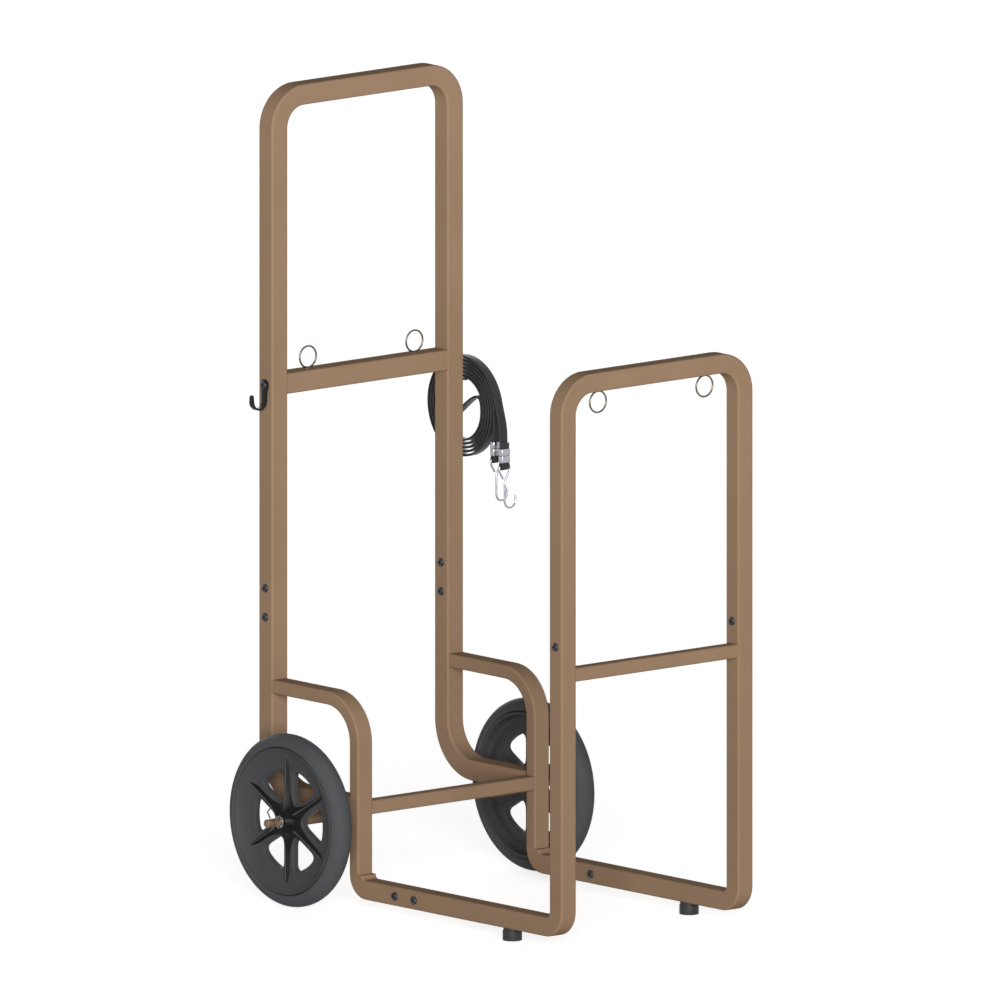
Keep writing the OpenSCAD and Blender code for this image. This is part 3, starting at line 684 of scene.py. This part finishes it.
# Wire of a strap hook as x and z round the middle of its eye: eye, neck, shank and open curve
def strapHookRoute():
    eyeX = strap["wide"]/2 + strapHook["wire"]/2 + strapHook["gap"]
    eyeHigh, curveR, neck = strapHook["eyeHigh"], strapHook["curveR"], strapHook["neck"]
    curveZ = curveR - strapHook["long"]
    eye = [strapHook["end"], (-eyeX, -eyeHigh), (-eyeX, 0), (eyeX, 0), (eyeX, -eyeHigh), neck]
    bends = softened([(x, 0, z) for x, z in eye], strapHook["eyeRound"], 6)[:-1]
    down = [(eyeX, 0, -eyeHigh), (neck[0], 0, neck[1]), (neck[0], 0, curveZ)]
    shank = softened(down, strapHook["neckRound"], 6)[1:-1]
    curve = []
    for a in range(180, 361, 9):
        x, z = curveR*math.cos(math.radians(a)), curveR*math.sin(math.radians(a))
        curve.append(Vector((neck[0] + curveR + x, 0, curveZ + z)))
    return bends + shank + curve + [Vector((neck[0] + 2*curveR, 0, curveZ + strapHook["tipHigh"]))]


def makeStrap():
    route, tailA, tailB = strapRoute()
    path = [atStrap(q) for q in route]
    section = roundedSection(strap["thick"]*mm, strap["wide"]*mm, strap["edge"]*mm, 3)
    coil = smooth(lofted("strapCoil", sweptRings(path, section, (1, 0, 0))), 50)
    finished(coil, "strap_elastic", ["strap_coil"])

    pitch = crimpBand["high"] + strap["fold"]
    runGap = strap["thick"] + strap["fold"]
    eyeR = strapHook["wire"]/2 + strap["thick"]/2 + strap["eyeGap"]
    eyeZ = -2*pitch - strap["eyeDrop"]
    arc = [(runGap/2 + eyeR*math.cos(math.radians(a)), eyeZ + eyeR*math.sin(math.radians(a)))
           for a in range(165, 376, 7)]
    loopRoute = [(0, 0), (0, -pitch), (0, -2*pitch)] + arc
    loopRoute += [(runGap, -2*pitch), (runGap, -pitch), (runGap, strap["foldHigh"])]
    wireRoute = strapHookRoute()
    for name, tail, side in (("A", tailA, 1), ("B", tailB, -1)):
        first = name == "A"
        loopPath = [atStrap(tail + Vector((side*y, z))) for y, z in loopRoute]
        loop = smooth(lofted("strapLoop" + name, sweptRings(loopPath, section, (1, 0, 0))), 50)
        finished(loop, "strap_elastic", ["strap_loops"] if first else ())
        foldMiddle = tail + Vector((side*runGap/2, 0))
        for row in (1, 2):
            place = foldMiddle - Vector((0, row*pitch))
            crimp = makeCrimp("strapCrimp%s%d" % (name, row), place, runGap)
            stands = ["strap_crimps"] if first and row == 1 else ()
            finished(crimp, "strap_zinc", stands)
        wirePath = [atStrap(foldMiddle + Vector((0, eyeZ + p.z)), p.x) for p in wireRoute]
        hook = smooth(bentBar("strapHook" + name, wirePath, strapHook["wire"]*mm, 16), 40)
        finished(hook, "strap_zinc", ["strap_hooks"] if first else ())


# Pressed zinc band round both runs: a rounded block, drawn in at its waist and opened through
def makeCrimp(name, place, runGap):
    wall, high = crimpBand["wall"], crimpBand["high"]
    wide, deep = strap["wide"] + crimpBand["gap"], strap["thick"] + runGap + crimpBand["gap"]
    centre = atStrap(place + Vector((0, high/2)))
    size = Vector((wide + 2*wall, deep + 2*wall, high))*mm
    crimp = primitive(name, bpy.ops.mesh.primitive_cube_add, size=1, location=centre, scale=size)
    edit(crimp, "EDGE")
    pickEdges(crimp, lambda p, q: abs(p.z - q.z) > high*mm/2)
    bpy.ops.mesh.bevel(offset=crimpBand["round"]*mm, segments=5, affect="EDGES")
    selectAll()
    bpy.ops.mesh.bisect(plane_co=centre, plane_no=(0, 0, 1))
    resize(crimpBand["waist"], centre)
    bpy.ops.mesh.select_mode(type="FACE")
    pickFaces(crimp, lambda at, normal: abs(normal.z) > 0.9)
    inset(wall)
    bpy.ops.mesh.bridge_edge_loops()
    leaveEdit()
    return smooth(roundEdges(crimp, crimpBand["edge"], 2), 35)


makeStrap()
print("strap made")


wheel = {
    "spokes": 6, "steps": 180, "spokeWide": 21, "openOut": 75.5, "innerRound": 22.5, "outerRound": 14.2,
    "lipOut": 2.6, "lipIn": 1.4, "face": 4.8, "back": -6, "openMiddle": (57, 18), "cutPast": 25,
    "sliver": 0.01
}
# Rows of distance from the axle, half width at the toe and height of the crest
faceRib = {
    "rows": [(8.8, 5.6, 19.6), (14, 8.6, 17.4), (20, 12.0, 15.3), (24, 13.8, 14.1), (28, 12.6, 13.1),
             (33, 9.9, 12.2), (38, 8.0, 11.4), (43, 6.8, 10.9), (50, 5.9, 10.5), (60, 5.3, 10.2),
             (72, 5.0, 10.0), (84, 4.8, 9.9), (88.5, 4.6, 9.9), (90.5, 4.3, 9.4)],
    "flank": [(1, 0), (0.72, 0.16), (0.46, 0.42), (0.2, 0.78), (0.07, 0.97)], "seat": 4.3, "buried": 2
}
backRib = {
    "rows": [(9, 3.0, 17.2), (15, 2.6, 16.5), (20, 2.0, 13), (30, 1.7, 10), (50, 1.6, 8.4), (78, 1.6, 7.6),
             (90, 1.5, 6.2)],
    "flank": [(1, 0), (0.8, 0.9), (0.5, 1)], "seat": 4, "buried": 1
}
# Section of the disc: bore, hub, web, hollow dish and the rim with its two lips
discOutline = [
    (9.05, -18), (14.2, -18), (15, -17.2), (15, -9.5), (16, -7.8), (18.5, -6.5), (22, -6), (74, -6),
    (80, -5.6), (87, -4.2), (93, -2.4), (97, -1.6), (99.2, -2.4), (100.4, -5), (100.9, -14), (101.4, -16.4),
    (102.2, -17.1), (104.6, -17.1), (105.6, -16.6), (106, -15.6), (106, 15.2), (105.7, 16.3), (105, 17),
    (104.2, 17.1), (103.4, 16.6), (102.2, 15.5), (100.6, 14), (98.6, 12.4), (96.4, 11), (93.6, 9.5),
    (90.5, 8.2), (87.2, 7.2), (83.8, 6.1), (79.5, 5.2), (75, 4.8), (34, 4.8), (27, 5.6), (21, 7.8),
    (16.5, 11.4), (13.2, 15.6), (11.2, 18.8), (10.4, 19.5), (9.05, 19.6)
]

# Heights of the web and dish without the ribs, of the ribs' crests, and the look of both: painted shade of
# deeper black on the ribs and painted highlight on their crests
ribLook = {
    "reach": 120, "tall": 24,
    "web": [(0, 4.8), (75, 4.8), (79.5, 5.2), (83.8, 6.1), (87.2, 7.2), (90.5, 8.2), (93.2, 9.3),
            (94.5, 24), (120, 24)],
    "crest": [(0, 24), (22, 22), (24, 14.1), (28, 13.1), (33, 12.2), (38, 11.4), (43, 10.9), (50, 10.5),
              (60, 10.2), (72, 10), (88.5, 9.9), (92, 10.5), (94, 24), (120, 24)],
    # The rib colour below is painted shade, a deeper black for the ribs and hub
    "from": 0.1, "to": 0.5, "colour": (0.006, 0.0061, 0.0068), "rough": 0.4,
    # The crest colour below is a painted highlight along the ribs' crests
    "crestDeep": 0.55, "crestHighlightColour": (0.16, 0.16, 0.163)
}


# Rounded wedge between two spokes, about the X axis
def openingOutline():
    half = math.pi/wheel["spokes"]
    inner = Vector((wheel["spokeWide"]/2/math.sin(half), 0, 0))
    way = Vector((math.cos(half), math.sin(half), 0))
    lead = inner.dot(way)
    outR = wheel["openOut"]
    high = inner + way*(math.sqrt(outR**2 - inner.length_squared + lead**2) - lead)
    low = Vector((high.x, -high.y, 0))
    far = Vector((outR, 0, 0))
    start = inner*0.35 + low*0.65
    corners = ((start, low, far, "outerRound"), (low, far, high, "outerRound"),
               (far, high, inner, "outerRound"), (high, inner, start, "innerRound"))
    outline = []
    for before, corner, after, lead in corners:
        outline += softened([before, corner, after], wheel[lead], 10)[1:-1]
    return [p*mm for p in outline]


# Drawn at the back and extruded outwards; it narrows and widens again for the two rounded lips
def openingCutter():
    cutter = drawnFace("openingCutter", openingOutline())
    back, face, (centreX, reach) = wheel["back"], wheel["face"], wheel["openMiddle"]
    lipIn, lipOut = wheel["lipIn"], wheel["lipOut"]
    centre = (centreX*mm, 0, 0)
    rows = [(back - wheel["cutPast"], lipIn)]
    for k in range(5):
        a = math.radians(90 - 22.5*k)
        rows.append((back + lipIn*(1 - math.sin(a)), lipIn*(1 - math.cos(a))))
    for k in range(6):
        a = math.radians(18*k)
        rows.append((face - lipOut*(1 - math.sin(a)), lipOut*(1 - math.cos(a))))
    rows.append((face + wheel["cutPast"], lipOut))
    bpy.ops.transform.translate(value=(0, 0, rows[0][0]*mm))
    scale = 1 + rows[0][1]/reach
    resize((scale, scale, 1), centre)
    for (z, extra), (nextZ, nextExtra) in zip(rows, rows[1:]):
        extrude(0, 0, nextZ - z)
        scale = (1 + nextExtra/reach)/(1 + extra/reach)
        resize((scale, scale, 1), centre)
    leaveEdit()
    return tidyNormals(cutter)


# Rib section drawn at the hub and extruded outwards, resized at each row to its width and crest
def makeRib(look):
    rows, seat, buried = look["rows"], look["seat"], look["buried"]
    start, toe, crest = rows[0]
    side = [(toe*w, seat + (crest - seat)*h) for w, h in look["flank"]]
    section = [(-toe, seat - buried)] + [(-y, z) for y, z in side] + [(y, z) for y, z in reversed(side)]
    section.append((toe, seat - buried))
    rib = drawnFace("rib", [(start*mm, y*mm, z*mm) for y, z in section])
    for (r, toe, crest), (nextR, nextToe, nextCrest) in zip(rows, rows[1:]):
        extrude(nextR - r, 0, 0)
        resize((1, nextToe/toe, (nextCrest - seat)/(crest - seat)), (0, 0, seat*mm))
    leaveEdit()
    return tidyNormals(rib)


# Copies of a piece all round the wheel, as one piece
def allRound(piece, name, start=0.0):
    count = wheel["spokes"]
    turns = [Matrix.Rotation(start + k*2*math.pi/count, 4, "Z") for k in range(count)]
    copies = [copied(piece, name + str(k), turn) for k, turn in enumerate(turns)]
    drop(piece)
    return joined(name, copies)


def makeWheel():
    disc = turned("leftWheelDisc", discOutline, wheel["steps"])
    addTo(disc, allRound(makeRib(faceRib), "ribs"))
    inner = makeRib(backRib)
    inner.data.transform(Matrix.Rotation(math.pi, 4, "X"))
    addTo(disc, allRound(inner, "backRibs"))
    cutBy(disc, allRound(openingCutter(), "openings", math.pi/wheel["spokes"]))
    edit(disc)
    selectAll()
    bpy.ops.mesh.dissolve_degenerate(threshold=wheel["sliver"]*mm)
    leaveEdit()
    bothWheels(smooth(disc, 32), ("leftWheelDisc", "rightWheelDisc"), "wheel_disc",
               (["left_wheel"], ["right_wheel"]), wheelBodies)


tyre = {
    "middleR": 107.5, "round": 17.5, "rimR": 106.05, "beadSpan": 11, "beadIn": 4.2, "seamWide": 1.5,
    "seamIn": 0.15, "outlineSteps": 60, "steps": 192
}


# Round tyre whose edges turn in beside the rim's lips, with a faint mould seam round its middle
def makeTyre():
    outline = []
    start = math.degrees(math.acos((tyre["rimR"] - tyre["middleR"])/tyre["round"]))
    steps = tyre["outlineSteps"]
    for k in range(steps + 1):
        a = start - 2*start*k/steps
        reach = tyre["round"]
        if abs(a) < tyre["seamWide"]:
            reach -= tyre["seamIn"]
        bead = max(0, (abs(a) - start)/tyre["beadSpan"] + 1)
        reach -= tyre["beadIn"]*bead**2
        outline.append((max(tyre["rimR"], tyre["middleR"] + reach*math.cos(math.radians(a))),
                        reach*math.sin(math.radians(a))))
    piece = turned("leftTyreRing", outline, tyre["steps"])
    bothWheels(smooth(piece, 35), ("leftTyreRing", "rightTyreRing"), "tyre",
               (["left_tyre"], ["right_tyre"]), wheelBodies)


ribLook["middle"] = Vector((-wheelPlace.x, axleMiddle.y, axleMiddle.z))
paintRibShadeAndCrestHighlight(materials["wheelDisc"], ribLook)
makeWheel()
makeTyre()
print("wheels made")


axleBar = {"d": 12, "chamfer": 0.7, "faceIn": 3.4, "dished": 0.25}
washer = {"outerD": 17.5, "holeD": 12.4, "thick": 1.6, "outerU": 20.8, "innerU": -19.9, "edge": 0.25}
clip = {
    "wire": 2, "u": 23.95, "bend": [(0, -9.5), (0, 7.5), (4.5, 11), (12, 23.2), (20, 17), (14.5, 7.1)],
    "round": 1.6
}


def makeAxle():
    low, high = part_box("axle")
    long = high.x - low.x
    axle = primitive("axleBar", bpy.ops.mesh.primitive_cylinder_add, vertices=48,
                     radius=axleBar["d"]/2*mm, depth=long, location=axleMiddle,
                     rotation=(0, math.pi/2, 0))
    edit(axle)
    pickFaces(axle, lambda place, normal: abs(normal.x) > 0.9)
    bpy.ops.mesh.bevel(offset=axleBar["chamfer"]*mm, segments=3, affect="EDGES")
    pickFaces(axle, lambda place, normal: abs(normal.x) > 0.99)
    inset(axleBar["faceIn"])
    resize(((long - 2*axleBar["dished"]*mm)/long, 1, 1), axleMiddle)
    leaveEdit()
    finished(smooth(axle, 40), "axle", ["axle"])


# Flat ring: a short cylinder whose two faces are inset and bridged
def makeWasher(u):
    t = washer["thick"]
    piece = primitive("washer", bpy.ops.mesh.primitive_cylinder_add, vertices=64,
                      radius=washer["outerD"]/2*mm, depth=t*mm, location=(0, 0, (u + t/2)*mm))
    edit(piece)
    pickFaces(piece, lambda place, normal: abs(normal.z) > 0.9)
    inset((washer["outerD"] - washer["holeD"])/2)
    bpy.ops.mesh.bridge_edge_loops()
    leaveEdit()
    return smooth(roundEdges(piece, washer["edge"], 3), 35)


# One piece of each pair stands for both washers' node
def makeWashers():
    for name, u, node in (("OuterWasher", washer["outerU"], "outer_washers"),
                          ("InnerWasher", washer["innerU"], "inner_washers")):
        bothWheels(makeWasher(u), ("left" + name, "right" + name), "zinc", ([node], ()))


# Round wire through the axle, bent into an open loop above it
def makeClips():
    path = softened([(z*mm, 0, (clip["u"] + out)*mm) for out, z in clip["bend"]], clip["round"]*mm, 8)
    piece = smooth(bentBar("clip", path, clip["wire"]*mm, 16), 40)
    bothWheels(piece, ("leftClipWire", "rightClipWire"), "zinc", (["left_clip"], ["right_clip"]),
               finish="clipSteel")


makeAxle()
makeWashers()
makeClips()
print("axle, washers and clips made")


bolt = {
    "headD": 12.5, "edgeHigh": 0.9, "dome": [(0.35, 0.75), (0.6, 0.65), (0.75, 0.5), (0.8, 0.4)],
    "edge": 0.15, "socketD": 4.8, "socketDeep": 1.9, "socketTurn": 0.3, "shankD": 6, "gap": 21,
    "short": 5, "barrelD": 8, "nutShort": 1, "hookGrip": 12
}
rearTube = legHigh.x - legLow.x
frontTube = frontHigh.x - frontLow.x
railSeamY = frontHigh.y
railZ = frontLow.z + frontTube/2
rearLegY = legHigh.y - rearTube/2
frontLegY = frontLow.y + frontTube/2
boltPlaces = [
    (rearLegY, seamZ + bolt["gap"]*mm, rearTube), (rearLegY, seamZ - bolt["gap"]*mm, rearTube),
    (frontLegY, seamZ + bolt["gap"]*mm, frontTube),
    (railSeamY - bolt["gap"]*mm, railZ, frontTube), (railSeamY + bolt["gap"]*mm, railZ, frontTube)
]


# Domed head with a hex socket and a shank: its seat at z = 0 and its head up
def makeHead(shank, shankD):
    r, edge, cutHigh = bolt["headD"]/2, bolt["edgeHigh"], 4
    head = primitive("head", bpy.ops.mesh.primitive_cylinder_add, vertices=40, radius=r*mm, depth=edge*mm,
                     location=(0, 0, edge/2*mm))
    edit(head)
    pickFaces(head, lambda place, normal: normal.z > 0.9)
    for inwards, rise in bolt["dome"]:
        inset(inwards)
        bpy.ops.transform.translate(value=(0, 0, rise*mm))
    pickFaces(head, lambda place, normal: normal.z < -0.9)
    inset(r - shankD/2)
    extrude(0, 0, -shank)
    leaveEdit()
    top = edge + sum(rise for _, rise in bolt["dome"])
    cutMiddle = (0, 0, (top + cutHigh/2 - bolt["socketDeep"])*mm)
    bpy.ops.mesh.primitive_cylinder_add(vertices=6, radius=bolt["socketD"]/2*mm, depth=cutHigh*mm,
                                        location=cutMiddle, rotation=(0, 0, bolt["socketTurn"]))
    cutBy(head, newPiece("socket"))
    return smooth(roundEdges(head, bolt["edge"], 2, 55), 30)


# Turns a head's Z axis to the left or right and puts it at x, y, z
def headMatrix(side, x, y, z):
    return Matrix.Translation((x, y, z)) @ Matrix.Rotation(side*math.pi/2, 4, "Y")


def makeFasteners():
    boltCopies, nutCopies = [], []
    for wide in sorted({round(tube/mm) for _, _, tube in boltPlaces}):
        screw = makeHead(wide - bolt["short"], bolt["shankD"])
        nut = makeHead(wide/2 - bolt["nutShort"], bolt["barrelD"])
        for y, z, tube in boltPlaces:
            if round(tube/mm) != wide:
                continue
            for side in (-1, 1):
                boltCopies.append(copied(screw, "bolt", headMatrix(side, side*halfWidth, y, z)))
                nutCopies.append(copied(nut, "nut", headMatrix(-side, side*(halfWidth - tube), y, z)))
        drop(screw, nut)
    finished(joined("frameBolts", boltCopies), "bolt_black", ["frame_bolts"])
    finished(joined("frameNuts", nutCopies), "bolt_black", ["frame_nuts"])
    screw = makeHead(sideHook["thick"] + bolt["hookGrip"], bolt["shankD"])
    away = halfWidth + sideHook["thick"]*mm
    places = [headMatrix(side, side*away, hookPlace.y, hookPlace.z) for side in (-1, 1)]
    hookScrews = [copied(screw, "screw", place) for place in places]
    drop(screw)
    finished(joined("hookBolts", hookScrews), "bolt_black", ["hook_bolts"])


# Heights and widths of the hook's strip: round plate and neck above its curve, round tip beyond it
hookPlate = [(7.86, 3), (7.4, 6.1), (6.6, 9.0), (5.2, 12.2), (3.2, 14.7), (0, 16), (-2.8, 15.0),
             (-5.5, 12.9), (-8.5, 10.7), (-12, 9.4), (-17, 8.8), (-22, 8.6)]
hookTip = [(1, 8.3), (3, 7.6), (5, 7), (6.6, 6.8), (7.9, 6.3), (8.8, 5.3), (9.4, 4.2), (9.7, 3)]


# Extrudes the selected edge from row to row, resizing it to each width
def extrudeRows(rows, towards, centreY):
    for (height, width), (nextHeight, nextWidth) in zip(rows, rows[1:]):
        way = Vector((0, 0, abs(nextHeight - height)*towards))*mm
        bpy.ops.mesh.extrude_edges_move(TRANSFORM_OT_translate={"value": way})
        resize((1, nextWidth/width, 1), (0, centreY, 0))


def makeSideHooks():
    t = sideHook["thick"]
    curveR = sideHook["curveR"] + t/2
    place = hookPlace - Vector((t/2*mm, 0, 0))
    top, wide = hookPlate[0]
    hook = drawn("leftHook", [place + Vector((0, side*wide/2, top))*mm for side in (-1, 1)])
    edit(hook, "VERT")
    selectAll()
    extrudeRows(hookPlate, -1, place.y)
    centre = place + Vector((-curveR, 0, -sideHook["down"]))*mm
    bpy.ops.mesh.spin(steps=24, angle=-math.pi, center=centre, axis=(0, 1, 0))
    extrudeRows([(0, hookPlate[-1][1])] + hookTip, 1, place.y)
    leaveEdit()
    tidyNormals(hook)
    shaped(hook, "SOLIDIFY", thickness=t*mm, offset=0, use_even_offset=True)
    roundEdges(hook, sideHook["edge"], 3)
    tidyNormals(smooth(hook, 50))
    twin = copied(hook, "rightHook", mirrorX)
    finished(hook, "hook_black", ["left_side_hook"])
    finished(twin, "hook_black", ["right_side_hook"])


makeFasteners()
makeSideHooks()
print("bolts, nuts and side hooks made")


ring = {"inner": 28, "wire": 2.8, "pitch": 200, "seat": 0.2, "bead": (4.2, 2.6, 1.7), "beadSunk": 0.3}
foot = {
    "d": 28, "high": 18, "neckHigh": 4, "neckIn": 1, "hole": 5.4, "recess": 6.5, "recessHigh": 6,
    "edge": 0.45
}


# Wire ring on or under its bar, held by a small weld bead
def makeRing(name, place, up):
    radius = (ring["inner"] + ring["wire"])/2*mm
    rise = up*(radius + (ring["wire"]/2 + ring["seat"])*mm)
    hoop = primitive(name, bpy.ops.mesh.primitive_torus_add, major_radius=radius,
                     minor_radius=ring["wire"]/2*mm, major_segments=96, minor_segments=18,
                     location=place + Vector((0, 0, rise)), rotation=(math.pi/2, 0, 0))
    bead = primitive("bead", bpy.ops.mesh.primitive_uv_sphere_add, segments=28, ring_count=16, radius=mm,
                     location=place, scale=ring["bead"])
    edit(bead)
    selectAll()
    bpy.ops.mesh.bisect(plane_co=place - Vector((0, 0, up*ring["beadSunk"]*mm)), plane_no=(0, 0, up),
                        use_fill=True, clear_inner=True)
    leaveEdit()
    return tidyNormals(joined(name, [hoop, bead]))


def makeRings():
    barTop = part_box("rear_crossbar")[1].z
    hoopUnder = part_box("front_hoop")[1].z - frontTube
    for name, y, z, up, node in (("rearRing", rearLegY, barTop, 1, "rear_rings"),
                                 ("frontRing", frontLegY, hoopUnder, -1, "front_rings")):
        for side, label in ((-1, "Left"), (1, "Right")):
            piece = makeRing(name + label, Vector((side*ring["pitch"]/2*mm, y, z)), up)
            finished(smooth(piece, 40), "ring_wire", [node] if side < 0 else ())


# Whether a place lies on the axis of a piece made round Z
def central(place):
    return math.hypot(place.x, place.y) < mm


# Rubber pad: a cylinder with a slightly narrower neck, a rounded rim and a screw recess from below
def makeFeet():
    r, high, neck = foot["d"]/2, foot["high"], foot["high"] - foot["neckHigh"]
    pad = primitive("footPad", bpy.ops.mesh.primitive_cylinder_add, vertices=72, radius=r*mm,
                    depth=neck*mm, location=(0, 0, neck/2*mm))
    edit(pad)
    pickFaces(pad, lambda place, normal: normal.z > 0.9)
    inset(foot["neckIn"])
    extrude(0, 0, foot["neckHigh"])
    pickFaces(pad, lambda place, normal: normal.z < -0.9)
    inset(r - foot["recess"])
    extrude(0, 0, foot["recessHigh"])
    pickFaces(pad, lambda place, normal: normal.z < -0.9 and central(place))
    inset(foot["recess"] - foot["hole"]/2)
    pickFaces(pad, lambda place, normal: abs(normal.z) > 0.9 and place.z > (high - 1)*mm)
    inset(r - foot["neckIn"] - foot["hole"]/2)
    pickFaces(pad, lambda place, normal: abs(normal.z) > 0.9 and central(place))
    bpy.ops.mesh.bridge_edge_loops()
    leaveEdit()
    smooth(roundEdges(pad, foot["edge"], 4), 40)
    for name, node in (("leftFootPad", "left_foot"), ("rightFootPad", "right_foot")):
        place = middle(node)
        twin = copied(pad, name, Matrix.Translation((place.x, place.y, 0)))
        finished(twin, "foot", [node])
    drop(pad)


makeRings()
makeFeet()
print("rings and feet made")


weld = {"d": 1.8, "sunk": 0.55, "ripple": 0.1, "pitch": 0.7, "corner": 3, "archTube": 20}


# Rippled bead about place, round a rectangle that is wide along a and high along b
def makeWeld(name, place, a, b, wide, high):
    sunk = 2*weld["sunk"]*mm
    outline = roundedSection(wide - sunk, high - sunk, weld["corner"]*mm, 6)
    path = []
    for here, there in zip(outline, outline[1:] + outline[:1]):
        count = max(1, round(math.dist(here, there)/(weld["pitch"]*mm)))
        for k in range(count):
            x, y = (here[axis] + (there[axis] - here[axis])*k/count for axis in (0, 1))
            path.append(place + Vector(a)*x + Vector(b)*y)
    swell = lambda k: 1 + weld["ripple"]*math.sin(math.pi*k/2)
    bead = bentBar(name, path, weld["d"]*mm, 10, closed=True, swell=swell)
    finished(smooth(bead, 60), "frame")


def makeWelds():
    x, y, z = (1, 0, 0), (0, 1, 0), (0, 0, 1)
    archLow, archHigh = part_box("left_arch")
    archWide, archTube = archHigh.x - archLow.x, weld["archTube"]*mm
    archX = -(archLow.x + archHigh.x)/2
    # The front bar lies flush with its legs, so its bead moves back to stay behind their faces
    inwards = (weld["d"]/2*(1 + weld["ripple"]) - weld["sunk"])*mm
    for side, sideName in ((-1, "Left"), (1, "Right")):
        for label, node in (("Cross", "rear_crossbar"), ("Mid", "front_midbar"), ("Tie", "arch_tie")):
            low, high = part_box(node)
            flush = inwards if node == "front_midbar" else 0
            endX = low.x if side < 0 else high.x
            end = Vector((endX, (low.y + high.y)/2 + flush, (low.z + high.z)/2))
            makeWeld("weld" + label + sideName, end, y, z, high.y - low.y, high.z - low.z)
        top = Vector((side*archX, archHigh.y, archHigh.z - archTube/2))
        heel = Vector((side*archX, archLow.y + archTube/2, archLow.z))
        makeWeld("weldArchTop" + sideName, top, x, z, archWide, archTube)
        makeWeld("weldArchHeel" + sideName, heel, x, y, archWide, archTube)


makeWelds()
print("welds made")


studio = {"world": 0.09, "floorSize": 14, "floorSunk": 0.2, "floorColour": 0.8, "floorGlow": 0.76}
lights = {
    "keyLight": {"way": (-0.6, -0.79, 0.15), "strength": 3.8, "spread": 36},
    "fillLight": {"way": (0.5, 0.8, 0.12), "strength": 1.5, "spread": 50}
}


# 1 for rays of the kinds given and 0 for all others
def anyRay(owner, *kinds):
    path = addNode(owner, "ShaderNodeLightPath")
    seen = 0
    for kind in kinds:
        seen = maths(owner, "MAXIMUM", path.outputs[kind], seen)
    return seen


# A white that the camera and reflections see, over the light that the object gets
def makeWorld():
    world = bpy.data.worlds.new("studio")
    bpy.context.scene.world = world
    world.use_nodes = True
    background = world.node_tree.nodes["Background"]
    background.inputs["Color"].default_value = (1, 1, 1, 1)
    strength = addNode(world, "ShaderNodeMapRange")
    strength.inputs["To Min"].default_value = studio["world"]
    strength.inputs["To Max"].default_value = 1
    seen = anyRay(world, "Is Camera Ray", "Is Glossy Ray", "Is Transmission Ray")
    link(world, seen, strength.inputs["Value"])
    link(world, strength.outputs["Result"], background.inputs["Strength"])


# White ground that takes shadows, with a glow that only the camera and reflections see
def makeFloor():
    bpy.ops.mesh.primitive_plane_add(size=studio["floorSize"], location=(0, 0, -studio["floorSunk"]*mm))
    floor = newPiece("floor")
    material = bpy.data.materials.new("floor")
    material.use_nodes = True
    tree = material.node_tree
    tree.nodes.remove(tree.nodes["Principled BSDF"])
    lit = addNode(material, "ShaderNodeBsdfDiffuse", Color=(*grey(studio["floorColour"]), 1))
    glow = addNode(material, "ShaderNodeEmission")
    seen = anyRay(material, "Is Camera Ray", "Is Glossy Ray")
    link(material, maths(material, "MULTIPLY", seen, studio["floorGlow"]), glow.inputs["Strength"])
    total = addNode(material, "ShaderNodeAddShader")
    link(material, lit.outputs[0], total.inputs[0])
    link(material, glow.outputs[0], total.inputs[1])
    link(material, total.outputs[0], tree.nodes["Material Output"].inputs["Surface"])
    floor.data.materials.append(material)


# Soft light that comes from the way given
def makeLight(name, way, strength, spread):
    bpy.ops.object.light_add(type="SUN")
    lamp = bpy.context.object
    lamp.name = name
    lamp.data.energy = strength
    lamp.data.angle = math.radians(spread)
    lamp.rotation_euler = Vector(way).to_track_quat("Z", "Y").to_euler()


bpy.context.scene.view_settings.view_transform = "Standard"
makeWorld()
makeFloor()
for name, look in lights.items():
    makeLight(name, **look)
print("studio set")
